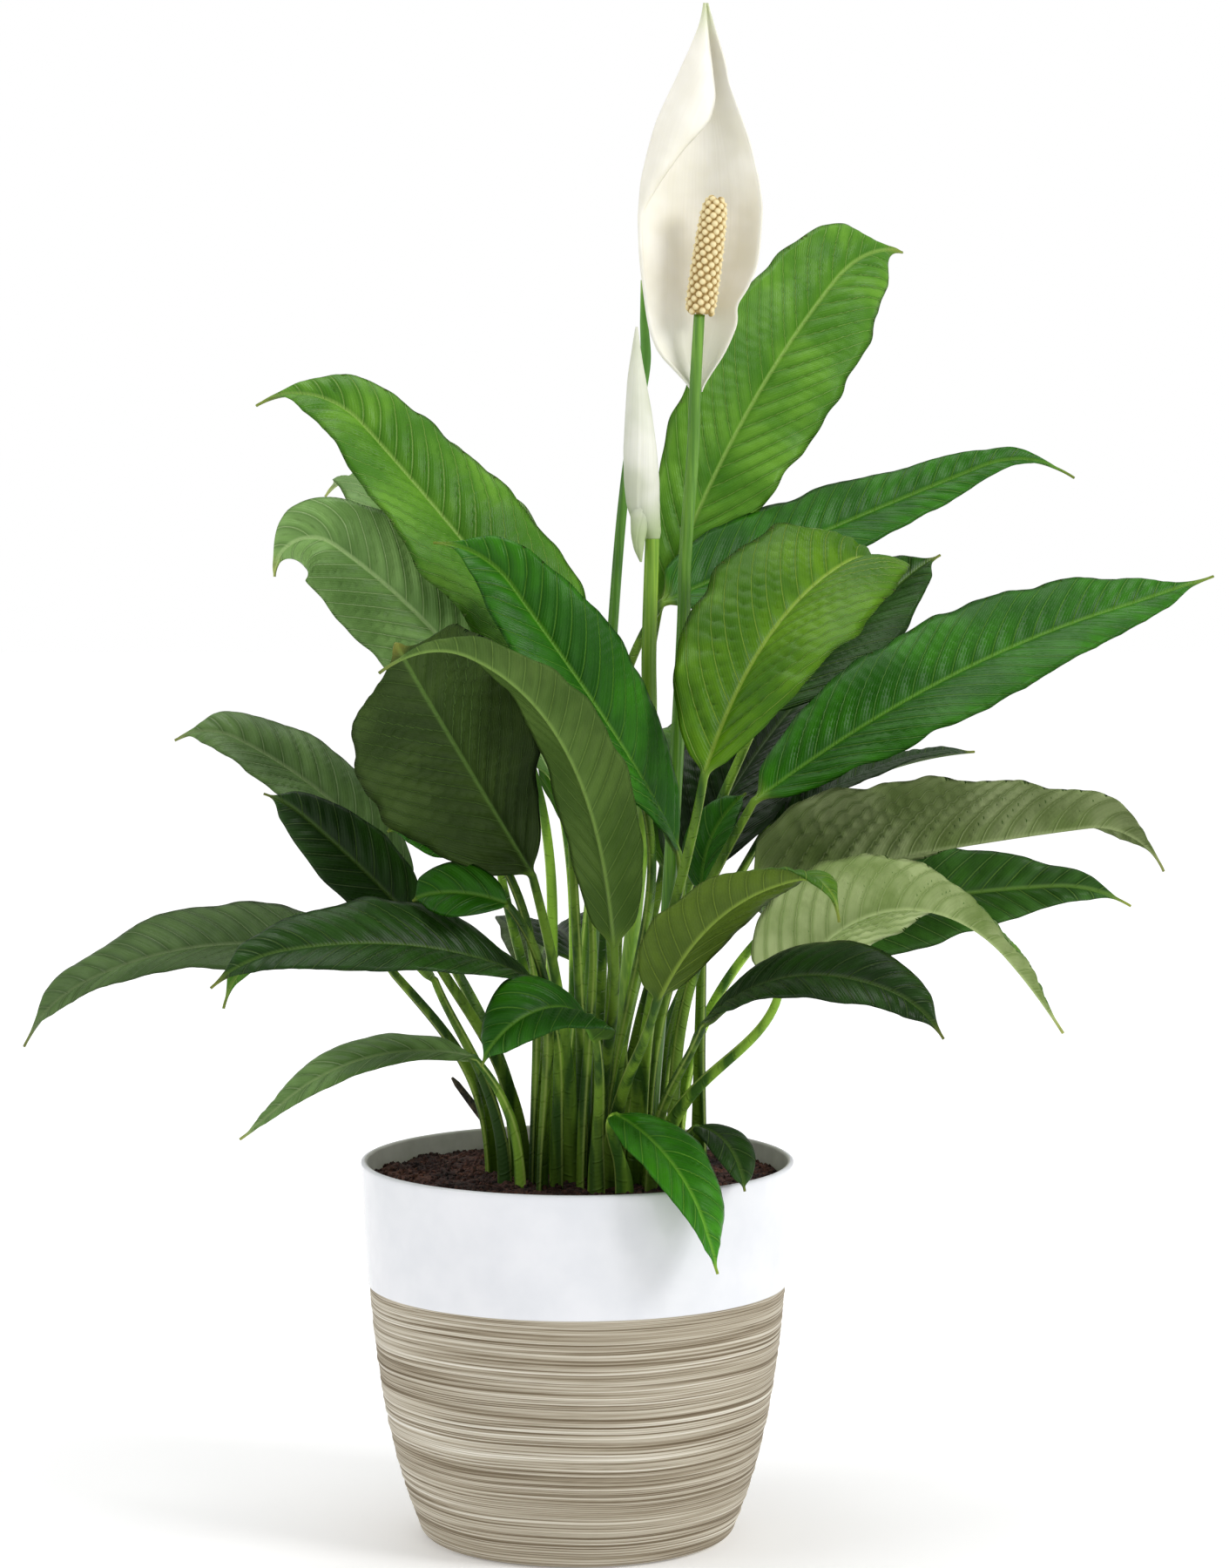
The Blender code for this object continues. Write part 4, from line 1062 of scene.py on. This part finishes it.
    rings, sides = out.shape
    first = np.arange(sides)
    after = np.roll(first, -1)
    lows = (np.arange(rings - 1) * sides)[:, None]
    faces = np.stack((lows + first, lows + after, lows + sides + after, lows + sides + first), axis=2)
    faces = faces.reshape(-1, 4).tolist()
    top_faces = np.tile(first < 2 * HALF_COLUMNS, rings - 1).tolist()
    faces += [list(range(sides))[::-1], list(range((rings - 1) * sides, rings * sides))]
    top_faces += [False, True]

    piece = add_piece("leaf_" + leaf.name + "_blade", points.reshape(-1, 3), faces)
    along = np.concatenate((np.linspace(-reach, 0, len(stalk)), stations * leaf.length * MM))[:, None]
    full = np.ones((rings, sides))
    set_values(
        piece, "leaf_place", "FLOAT_VECTOR", np.stack(
            (signed * half_width, along * full, edge * full), axis=2
        )
    )
    stalk_tone = np.clip(on_stalk * full, 0, 1)
    set_values(
        piece, "leaf_shape", "FLOAT_VECTOR", np.stack(
            (blade_share * full, stalk_tone, leaf.shade * full), axis=2
        )
    )
    set_values(piece, "leaf_up", "FLOAT_VECTOR", up * full[:, :, None])
    set_values(piece, "top_face", "BOOLEAN", np.array(top_faces), domain="FACE")
    top_finish, underside_finish = leaf_finishes[leaf.tone]
    size = leaf.width / 60
    formed(piece, relief, {
        "Top Finish": top_finish,
        "Underside Finish": underside_finish,
        "Pleat Height": (3.2 if leaf.tone == "pale" else 2.4) * MM * size,
        "Wave Height": 3.0 * MM * size,
        "Vein Spacing": (5.5 + 4 * size) * MM,
        "Seed": order * 5.3,
    })
    return piece


for order, leaf in enumerate(LEAVES):
    blade = build_leaf(leaf, order)
    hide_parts("leaf_" + leaf.name)
    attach(blade, "root")


# Flower stems: smooth green stalks, rounder and fleshier than the leaf stalks, that rise from the crown.
# Each narrows slightly from its foot up to its flower.
Stem = namedtuple("Stem", "name seat points foot_radius top_radius light dark")
STEMS = (
    Stem(
        "flower_stem_open", (2, 0),
        ((36, -8, 250), (42, -12, 361), (43, -12, 396), (46, -12, 438), (47, -12, 466), (48.5, -12, 493)),
        3.0 * MM, 2.2 * MM, colour(108, 156, 48), colour(72, 122, 28),
    ),
    Stem(
        "flower_stem_closed", (0, 0),
        ((20, -18, 230), (28, -29, 315), (28.5, -30, 360), (29.5, -30, 395), (30, -30, 409)),
        3.2 * MM, 2.8 * MM, colour(140, 180, 52), colour(100, 146, 34),
    ),
    Stem(
        "flower_stem_green", (1, 2),
        ((8, 13, 270), (15, 15, 378), (19, 15, 424), (23, 15, 452)),
        2.4 * MM, 1.8 * MM, colour(92, 146, 40), colour(58, 108, 24),
    ),
)
STEM_RINGS = 96
STEM_SIDES = 20


def smooth_path(knots, count, start_slope=None):
    """Points along a smooth curve through knots."""
    slopes = np.gradient(knots, axis=0)
    if start_slope is not None:
        slopes[0] = start_slope
    share = np.linspace(0, len(knots) - 1, count)
    span = np.minimum(share.astype(int), len(knots) - 2)
    part = (share - span)[:, None]
    return (
        (2 * part**3 - 3 * part**2 + 1) * knots[span]
        + (part**3 - 2 * part**2 + part) * slopes[span]
        + (3 * part**2 - 2 * part**3) * knots[span + 1]
        + (part**3 - part**2) * slopes[span + 1]
    )


def build_tube(name, path, radii, sides, finish, ripple=0.0, ripples=5):
    """A closed stalk along a path, with shallow flutes along it."""
    tangents = unit(np.gradient(path, axis=0))
    across = unit(np.array((1.0, 0, 0)) - tangents * tangents[:, :1])
    forward = np.cross(across, tangents)
    angles = math.tau * np.arange(sides) / sides
    reach = radii[:, None] * (1 + ripple * np.cos(ripples * angles))
    points = (
        path[:, None]
        + across[:, None] * (reach * np.cos(angles))[:, :, None]
        + forward[:, None] * (reach * np.sin(angles))[:, :, None]
    )
    first = np.arange(sides)
    after = np.roll(first, -1)
    lows = (np.arange(len(path) - 1) * sides)[:, None]
    faces = np.stack((lows + first, lows + after, lows + sides + after, lows + sides + first), axis=2)
    faces = faces.reshape(-1, 4).tolist()
    faces += [list(range(sides))[::-1], list(range((len(path) - 1) * sides, len(path) * sides))]
    return add_piece(name, points.reshape(-1, 3), faces, (finish,))


def stem_finish(name, light, dark):
    """Fleshy green skin with fine lengthwise fibres."""
    finish, tree, shader = new_finish(name, 0.36)
    place = add_node(tree, "ShaderNodeTexCoord").outputs["Object"]
    along = add_node(tree, "ShaderNodeMapping", {"Vector": place, "Scale": (1200, 1200, 30)})
    fibres = add_node(tree, "ShaderNodeTexNoise", {"Vector": along.outputs[0], "Scale": 1.0, "Detail": 2.0})
    patches = add_node(tree, "ShaderNodeTexNoise", {"Vector": place, "Scale": 30.0, "Detail": 2.0})
    share = calculate(tree, "ADD", calculate(tree, "MULTIPLY", fibres.outputs[0], 0.6),
                      calculate(tree, "MULTIPLY", patches.outputs[0], 0.4))
    tree.links.new(
        mix_colours(tree, step_between(tree, share, 0.35, 0.65), dark, light), shader.inputs["Base Color"]
    )
    bump = add_node(
        tree, "ShaderNodeBump", {"Height": fibres.outputs[0], "Strength": 0.25, "Distance": 0.2 * MM}
    )
    tree.links.new(bump.outputs[0], shader.inputs["Normal"])
    return finish


for stem in STEMS:
    seat = seat_place(stem.seat)
    knots = np.array([seat, *(np.array(point) * MM for point in stem.points)])
    climb = smooth_path(knots, STEM_RINGS, (0, 0, np.linalg.norm(knots[1] - knots[0])))
    climb = np.concatenate(([seat - np.array((0, 0, SEAT_DEPTH))], climb))
    stem_radii = np.linspace(stem.foot_radius, stem.top_radius, len(climb))
    stalk = build_tube(
        stem.name + "_stalk", climb, stem_radii, STEM_SIDES,
        stem_finish(stem.name + "_skin", stem.light, stem.dark), 0.03,
    )
    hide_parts(stem.name)
    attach(stalk, "root")


# Open spathe: the white bract behind the flower spike. It is one thin waxy sheet, hollowed towards the
# front; its upper left margin is still rolled over from the bud, and it tapers to a green-tinged tip.
# Each row gives the height, the left and right silhouette, and how far the rolled margin reaches.
SPATHE_ROWS = np.array((
    (462.5, 46.2, 49.4, 47.0),
    (465.0, 44.6, 50.4, 45.5),
    (470.0, 40.0, 53.6, 41.0),
    (477.5, 32.8, 58.6, 33.8),
    (485.5, 29.4, 62.2, 30.4),
    (490.3, 28.4, 63.9, 29.4),
    (496.8, 27.4, 63.2, 28.2),
    (502.0, 26.8, 67.2, 27.6),
    (510.9, 25.6, 71.2, 26.5),
    (520.0, 24.9, 72.6, 25.7),
    (531.5, 24.5, 73.4, 25.6),
    (536.0, 24.9, 73.5, 27.5),
    (546.0, 26.1, 72.1, 33.5),
    (557.0, 29.0, 69.6, 41.5),
    (563.0, 30.6, 67.8, 47.0),
    (568.9, 32.4, 65.8, 52.6),
    (577.8, 36.4, 62.6, 54.8),
    (585.3, 40.2, 60.0, 54.0),
    (590.4, 42.4, 59.3, 53.4),
    (600.0, 46.4, 56.4, 52.2),
    (606.8, 48.9, 54.2, 51.4),
    (610.2, 49.6, 53.4, 51.0),
    (615.0, 50.5, 51.6, 51.0),
))
SPATHE_STEPS = 120
SPATHE_MAIN_COLUMNS = 34
SPATHE_TURN_COLUMNS = 7
SPATHE_FLAP_COLUMNS = 16
SPATHE_THICKNESS = 0.7 * MM
SPATHE_FOOT_FORWARD, SPATHE_BOW_BACK, SPATHE_TIP_FORWARD = 8, 14, 10
SPATHE_KEEL_SHIFT = 0.05
SPATHE_HOLLOW, SPATHE_HOLLOW_POWER = 0.24, 1.8
SPATHE_RIPPLE = 0.35
ROLL_SHARE, ROLL_LEAST, ROLL_MOST = 0.16, 0.35, 1.9
FLAP_BULGE, FLAP_LIFT, FLAP_EDGE_TURN = 0.26, 0.16, 1.2

heights = np.linspace(SPATHE_ROWS[0, 0], SPATHE_ROWS[-1, 0], SPATHE_STEPS)
edges = np.stack(
    [np.interp(heights, SPATHE_ROWS[:, 0], SPATHE_ROWS[:, column]) for column in (1, 2, 3)], axis=1
)
padded_edges = np.concatenate((edges[:1], edges[:1], edges, edges[-1:], edges[-1:]))
edges = sum(padded_edges[shift:shift + SPATHE_STEPS] for shift in range(5)) / 5
spathe_points = []
spathe_across = []
for height, (left, right, flap) in zip(heights, edges):
    rise = (height - heights[0]) / (heights[-1] - heights[0])
    middle = -SPATHE_FOOT_FORWARD * (1 - rise) ** 2 + 2 * rise * (1 - rise) * SPATHE_BOW_BACK
    middle = middle - SPATHE_TIP_FORWARD * rise**2
    width = right - left
    centre = (left + right) / 2 + SPATHE_KEEL_SHIFT * width
    part = np.linspace(1, -1, SPATHE_MAIN_COLUMNS)
    out = np.where(part > 0, centre + part * (right - centre), centre + part * (centre - left))
    hollow = SPATHE_HOLLOW * width * np.abs(part) ** SPATHE_HOLLOW_POWER
    depth = middle - hollow + SPATHE_RIPPLE * np.sin(part * 5 + rise * 9) * np.abs(part) ** 2
    turn_radius = np.clip((flap - left) * ROLL_SHARE, ROLL_LEAST, ROLL_MOST)
    turn = np.linspace(0, math.pi, SPATHE_TURN_COLUMNS + 2)[1:-1]
    turn_out = left - turn_radius * np.sin(turn) * 0.4
    turn_depth = depth[-1] - turn_radius * (1 - np.cos(turn))
    over = np.linspace(0, 1, SPATHE_FLAP_COLUMNS)
    over_out = left + (flap - left) * over
    flap_length = flap - left
    bulge = FLAP_BULGE * np.sin(over * math.pi * 0.75)
    over_depth = depth[-1] - 2 * turn_radius - flap_length * bulge + flap_length * FLAP_LIFT * over**2
    over_depth = over_depth + FLAP_EDGE_TURN * smooth(over, 0.85, 1.0) * smooth(flap_length, 2, 8)
    row_out = np.concatenate((out, turn_out, over_out))
    row_depth = np.concatenate((depth, turn_depth, over_depth))
    spathe_points.append(np.column_stack((row_out, row_depth, np.full(len(row_out), height))))
    turn_across = -1 - 0.05 * np.arange(len(turn)) / len(turn)
    spathe_across.append(np.concatenate((part, turn_across, -1.05 - over * flap_length / 30)))
spathe_points = np.concatenate(spathe_points) * MM
spathe_columns = SPATHE_MAIN_COLUMNS + SPATHE_TURN_COLUMNS + SPATHE_FLAP_COLUMNS
spathe_faces = [
    (row * spathe_columns + column, row * spathe_columns + column + 1,
     (row + 1) * spathe_columns + column + 1, (row + 1) * spathe_columns + column)
    for row in range(SPATHE_STEPS - 1)
    for column in range(spathe_columns - 1)
]


def spathe_finish(name, white, cream, stain, stain_low, stain_high):
    """Waxy white with fine veins from foot to tip, and a green stain between two heights."""
    finish, tree, shader = new_finish(name, 0.42)
    place = add_node(tree, "ShaderNodeTexCoord").outputs["Object"]
    height = add_node(tree, "ShaderNodeSeparateXYZ", {0: place}).outputs[2]
    across = add_node(tree, "ShaderNodeAttribute", attribute_name="sheet_across").outputs["Fac"]
    lines = add_node(tree, "ShaderNodeCombineXYZ", {
        0: calculate(tree, "MULTIPLY", across, 26.0), 1: calculate(tree, "MULTIPLY", height, 12.0)})
    veins = add_node(tree, "ShaderNodeTexNoise", {"Vector": lines.outputs[0], "Scale": 1.0, "Detail": 3.0})
    patches = add_node(tree, "ShaderNodeTexNoise", {"Vector": place, "Scale": 45.0, "Detail": 2.0})
    body = mix_colours(tree, step_between(tree, patches.outputs[0], 0.3, 0.7), white, cream)
    body = tinted(tree, step_between(tree, veins.outputs[0], 0.45, 0.75), 0.25, body, cream)
    body = tinted(tree, step_between(tree, height, stain_low, stain_high), 0.7, body, stain)
    tree.links.new(body, shader.inputs["Base Color"])
    bump = add_node(
        tree, "ShaderNodeBump", {"Height": veins.outputs[0], "Strength": 0.3, "Distance": 0.4 * MM}
    )
    tree.links.new(bump.outputs[0], shader.inputs["Normal"])
    shader.inputs["Subsurface Weight"].default_value = 0.15
    shader.inputs["Subsurface Radius"].default_value = (3 * MM, 3 * MM, 2 * MM)
    shader.inputs["Subsurface Scale"].default_value = 1.0
    return finish


open_white = spathe_finish(
    "spathe_waxy_white", colour(248, 245, 234), colour(232, 228, 212), colour(176, 192, 130), 598 * MM,
    616 * MM
)
spathe = add_piece("spathe_open_sheet", spathe_points, spathe_faces, (open_white,))
set_values(spathe, "sheet_across", "FLOAT", np.concatenate(spathe_across))
wall = spathe.modifiers.new("sheet_thickness", "SOLIDIFY")
wall.thickness = SPATHE_THICKNESS
wall.offset = 0
bpy.context.view_layer.update()
spathe.data = bpy.data.meshes.new_from_object(spathe.evaluated_get(bpy.context.evaluated_depsgraph_get()))
spathe.modifiers.remove(wall)
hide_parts("spathe_open")
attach(spathe, "root")


# Spadix: the flower spike, a fleshy core packed with small cream florets in a spiral. Each floret is a
# rounded knob with a pale tip, darker towards its foot as painted shade among the packed florets.
SPADIX_FOOT = np.array((48.7, -12.0, 493.5)) * MM
SPADIX_TOP = np.array((55.0, -12.0, 538.5)) * MM
SPADIX_RADIUS = 5.0 * MM
SPADIX_OUTLINE = ((0.0, 0.86), (0.06, 0.97), (0.3, 1.0), (0.65, 0.93), (0.88, 0.8), (0.97, 0.58), (1.0, 0.25))
spadix_share = np.linspace(0, 1, 30)
spadix_girth = SPADIX_RADIUS * np.interp(spadix_share, *zip(*SPADIX_OUTLINE))
spadix_path = SPADIX_FOOT + (SPADIX_TOP - SPADIX_FOOT) * spadix_share[:, None]

floret_finish, floret_tree, floret_shader = new_finish("cream_florets", 0.6)
floret_knob = add_node(floret_tree, "ShaderNodeAttribute", attribute_name="floret_top").outputs["Fac"]
floret_grain = add_node(floret_tree, "ShaderNodeTexNoise", {
    "Vector": add_node(floret_tree, "ShaderNodeTexCoord").outputs["Object"], "Scale": 900.0, "Detail": 3.0})
# Painted shade: each knob is darker towards its foot, where it meets the core and its neighbours.
floret_tone_and_foot_shade = mix_colours(
    floret_tree, step_between(floret_tree, floret_knob, 0.1, 0.95), colour(176, 146, 84), colour(240, 226, 178))
floret_tree.links.new(
    mix_colours(floret_tree, calculate(floret_tree, "MULTIPLY", floret_grain.outputs[0], 0.3),
                floret_tone_and_foot_shade, colour(206, 178, 116)),
    floret_shader.inputs["Base Color"],
)
floret_bump = add_node(
    floret_tree, "ShaderNodeBump", {"Height": floret_grain.outputs[0], "Strength": 0.4, "Distance": 0.2 * MM}
)
floret_tree.links.new(floret_bump.outputs[0], floret_shader.inputs["Normal"])

florets, floret_in, floret_out = new_group(
    "spiral_florets",
    "GeometryNodeTree",
    (("Geometry", "NodeSocketGeometry", None), ("Floret Count", "NodeSocketInt", 190),
     ("Spike Length", "NodeSocketFloat", 45 * MM), ("Spike Radius", "NodeSocketFloat", SPADIX_RADIUS),
     ("Floret Size", "NodeSocketFloat", 1.5 * MM), ("Finish", "NodeSocketMaterial", None)),
    (("Geometry", "NodeSocketGeometry"),),
)
GOLDEN_TURN = math.radians(137.508)
floret_line = add_node(florets, "GeometryNodeMeshLine", {"Count": floret_in.outputs["Floret Count"]})
floret_index = add_node(florets, "GeometryNodeInputIndex").outputs[0]
floret_height = calculate(
    florets, "DIVIDE", calculate(florets, "ADD", floret_index, 0.5), floret_in.outputs["Floret Count"]
)
floret_angle = calculate(florets, "MULTIPLY", floret_index, GOLDEN_TURN)
floret_girth = add_node(florets, "ShaderNodeFloatCurve", {"Value": floret_height})
for position, (share, girth) in zip(range(len(SPADIX_OUTLINE)), SPADIX_OUTLINE):
    curve_points = floret_girth.mapping.curves[0].points
    if position in (0, len(SPADIX_OUTLINE) - 1):
        curve_points[0 if position == 0 else -1].location = (share, girth)
    else:
        curve_points.new(share, girth)
floret_girth.mapping.update()
floret_reach = calculate(florets, "MULTIPLY", floret_girth.outputs[0], floret_in.outputs["Spike Radius"])
floret_out_direction = add_node(florets, "ShaderNodeCombineXYZ", {
    0: calculate(florets, "COSINE", floret_angle), 1: calculate(florets, "SINE", floret_angle),
    2: step_between(florets, floret_height, 0.88, 1.0),
})
floret_place = add_node(florets, "ShaderNodeCombineXYZ", {
    0: calculate(florets, "MULTIPLY", calculate(florets, "COSINE", floret_angle), floret_reach),
    1: calculate(florets, "MULTIPLY", calculate(florets, "SINE", floret_angle), floret_reach),
    2: calculate(florets, "MULTIPLY", floret_height, floret_in.outputs["Spike Length"]),
})
floret_points = add_node(florets, "GeometryNodeSetPosition", {
    "Geometry": floret_line.outputs[0], "Position": floret_place.outputs[0]})
floret_knob_shape = add_node(florets, "GeometryNodeMeshUVSphere", {"Segments": 10, "Rings": 7, "Radius": 1.0})
knob_height = add_node(
    florets, "ShaderNodeSeparateXYZ", {0: add_node(florets, "GeometryNodeInputPosition").outputs[0]}
)
floret_marked = add_node(florets, "GeometryNodeStoreNamedAttribute", {
    "Geometry": floret_knob_shape.outputs["Mesh"], "Name": "floret_top", "Value": knob_height.outputs[2]},
    data_type="FLOAT", domain="POINT")
knob_pinch = add_node(florets, "ShaderNodeCombineXYZ", {
    2: calculate(florets, "MULTIPLY", step_between(florets, knob_height.outputs[2], 0.86, 1.0), 0.22)})
floret_pointed = add_node(florets, "GeometryNodeSetPosition", {
    "Geometry": floret_marked.outputs[0], "Offset": knob_pinch.outputs[0]})
floret_facing = add_node(
    florets, "FunctionNodeAlignRotationToVector", {"Vector": floret_out_direction.outputs[0]}, axis="Z")
floret_scale = add_node(florets, "ShaderNodeVectorMath", {
    0: (1.0, 1.0, 0.85), "Scale": floret_in.outputs["Floret Size"]}, operation="SCALE")
floret_copies = add_node(florets, "GeometryNodeInstanceOnPoints", {
    "Points": floret_points.outputs[0], "Instance": floret_pointed.outputs[0],
    "Rotation": floret_facing.outputs[0], "Scale": floret_scale.outputs[0]})
floret_real = add_node(florets, "GeometryNodeRealizeInstances", {0: floret_copies.outputs[0]})
floret_smooth = add_node(florets, "GeometryNodeSetShadeSmooth", {0: floret_real.outputs[0]})
floret_painted = add_node(florets, "GeometryNodeSetMaterial", {
    "Geometry": floret_smooth.outputs[0], "Material": floret_in.outputs["Finish"]})
florets.links.new(floret_painted.outputs[0], floret_out.inputs["Geometry"])

spadix_core = build_tube("spadix_core", spadix_path, spadix_girth, 20, floret_finish)
spadix = add_piece("spadix_florets", [(0, 0, 0)], [])
formed(
    spadix, florets, {
        "Finish": floret_finish, "Spike Length": float(np.linalg.norm(SPADIX_TOP - SPADIX_FOOT))
    }
)
spadix_lean = Vector(SPADIX_TOP - SPADIX_FOOT).to_track_quat("Z", "Y").to_matrix().to_4x4()
spadix.data.transform(spadix_lean)
spadix.data.transform(Matrix.Translation(Vector(SPADIX_FOOT)))
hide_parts("spadix")
for spike_piece in (spadix, spadix_core):
    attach(spike_piece, "root")


# Closed flowers: a white bud whose spathe is still wrapped round itself, with its lower lobe hanging
# beside the stem, and a young green bud. Each is one sheet rolled up, so a seam runs up its front.
Bud = namedtuple("Bud", "name rolls seam_turn seam_step")
WHITE_BUD = Bud("spathe_closed", (
    (
        ((29.9, -30.0, 405.0), 3.0), ((29.2, -30.0, 408.0), 4.2), ((27.8, -30.0, 411.6), 5.5),
        ((26.6, -30.0, 418.0), 6.5), ((26.0, -30.0, 427.0), 7.0), ((25.3, -30.0, 440.0), 6.6),
        ((24.6, -30.0, 455.0), 5.2), ((23.8, -30.0, 468.0), 3.6), ((23.6, -30.0, 479.0), 1.8),
        ((23.7, -30.0, 488.0), 0.5),
    ),
    (
        ((25.4, -35.4, 396.0), 0.4), ((24.7, -35.0, 401.0), 1.9), ((24.7, -34.0, 407.0), 3.0),
        ((25.4, -32.6, 413.5), 3.9), ((25.8, -31.4, 421.0), 3.6), ((25.9, -30.8, 428.0), 2.0),
    ),
), (-2.4, -1.0), 0.8 * MM)
YOUNG_BUD = Bud("bud_green", (
    (
        ((23.2, 15.0, 452.5), 1.7), ((26.0, 15.0, 464.0), 2.3), ((27.6, 15.0, 476.0), 2.2),
        ((27.0, 15.0, 490.0), 1.7), ((26.0, 15.0, 507.0), 0.5),
    ),
), (-1.9, -1.4), 0.4 * MM)
BUD_RINGS = 90
BUD_SIDES = 44


def build_bud(bud, finish):
    """Rolled sheets: each radius grows once round, so that the outer edge laps over the inner one."""
    points = []
    faces = []
    turn = np.linspace(0, 1, BUD_SIDES)
    first = np.arange(BUD_SIDES)
    after = np.roll(first, -1)
    lows = (np.arange(BUD_RINGS - 1) * BUD_SIDES)[:, None]
    for roll in bud.rolls:
        middles = np.array([middle for middle, _ in roll]) * MM
        girths = np.array([girth for _, girth in roll]) * MM
        path = smooth_path(middles, BUD_RINGS)
        girth = np.interp(path[:, 2], middles[:, 2], girths)
        seam = np.linspace(*bud.seam_turn, BUD_RINGS)[:, None]
        step = bud.seam_step * np.clip(girth / girths.max(), 0, 1)[:, None]
        radius = girth[:, None] - step * 0.5 + step * smooth(turn, 0.0, 1.0)
        radius = radius - step * 0.5 * smooth(turn, 0.9, 1.0)
        angle = seam + math.tau * turn
        sheet = path[:, None] + np.stack(
            (radius * np.cos(angle), radius * np.sin(angle), np.zeros_like(angle)), axis=2
        )
        start = len(points) * BUD_RINGS * BUD_SIDES
        walls = np.stack(
            (lows + first, lows + after, lows + BUD_SIDES + after, lows + BUD_SIDES + first), axis=2
        )
        faces += (walls.reshape(-1, 4) + start).tolist()
        top = start + (BUD_RINGS - 1) * BUD_SIDES
        faces += [(start + first[::-1]).tolist(), (top + first).tolist()]
        points.append(sheet.reshape(-1, 3))
    piece = add_piece(bud.name + "_roll", np.concatenate(points), faces, (finish,))
    set_values(piece, "sheet_across", "FLOAT", np.tile(turn * 2.4, BUD_RINGS * len(bud.rolls)))
    return piece


bud_white = spathe_finish(
    "closed_spathe_white", colour(232, 232, 220), colour(204, 208, 186), colour(140, 168, 82), 424 * MM,
    405 * MM
)
young_green = spathe_finish(
    "young_bud_green", colour(112, 170, 52), colour(76, 134, 32), colour(176, 196, 130), 498 * MM, 508 * MM
)
for bud, finish in ((WHITE_BUD, bud_white), (YOUNG_BUD, young_green)):
    rolled = build_bud(bud, finish)
    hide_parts(bud.name)
    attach(rolled, "root")


# Dry stalk: the brown stub of a leaf stalk that has died back, shrunk, fluted and torn at its end.
DRY_SEAT = (3, 7)
DRY_POINTS = ((-27, 8, 156), (-38, 10, 168), (-51, 10, 185))
dry_seat = seat_place(DRY_SEAT)
dry_knots = np.array([dry_seat, *(np.array(point) * MM for point in DRY_POINTS)])
dry_path = np.concatenate(([dry_seat - np.array((0, 0, SEAT_DEPTH))], smooth_path(dry_knots, 40)))
dry_radii = np.interp(
    np.linspace(0, 1, len(dry_path)), (0, 0.6, 0.95, 1.0), (2.0 * MM, 1.9 * MM, 1.2 * MM, 0.5 * MM)
)
dry_finish, dry_tree, dry_shader = new_finish("dried_stalk_fibre", 0.85)
dry_place = add_node(dry_tree, "ShaderNodeTexCoord").outputs["Object"]
dry_fibres = add_node(dry_tree, "ShaderNodeTexNoise", {"Vector": dry_place, "Scale": 600.0, "Detail": 4.0})
dry_tree.links.new(
    mix_colours(dry_tree, step_between(dry_tree, dry_fibres.outputs[0], 0.35, 0.7),
                colour(26, 24, 18), colour(84, 74, 52)),
    dry_shader.inputs["Base Color"],
)
dry_bump = add_node(
    dry_tree, "ShaderNodeBump", {"Height": dry_fibres.outputs[0], "Strength": 0.8, "Distance": 0.6 * MM}
)
dry_tree.links.new(dry_bump.outputs[0], dry_shader.inputs["Normal"])
dry_stalk = build_tube("dry_stalk_stub", dry_path, dry_radii, 20, dry_finish, 0.14)
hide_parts("dry_stalk")
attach(dry_stalk, "root")
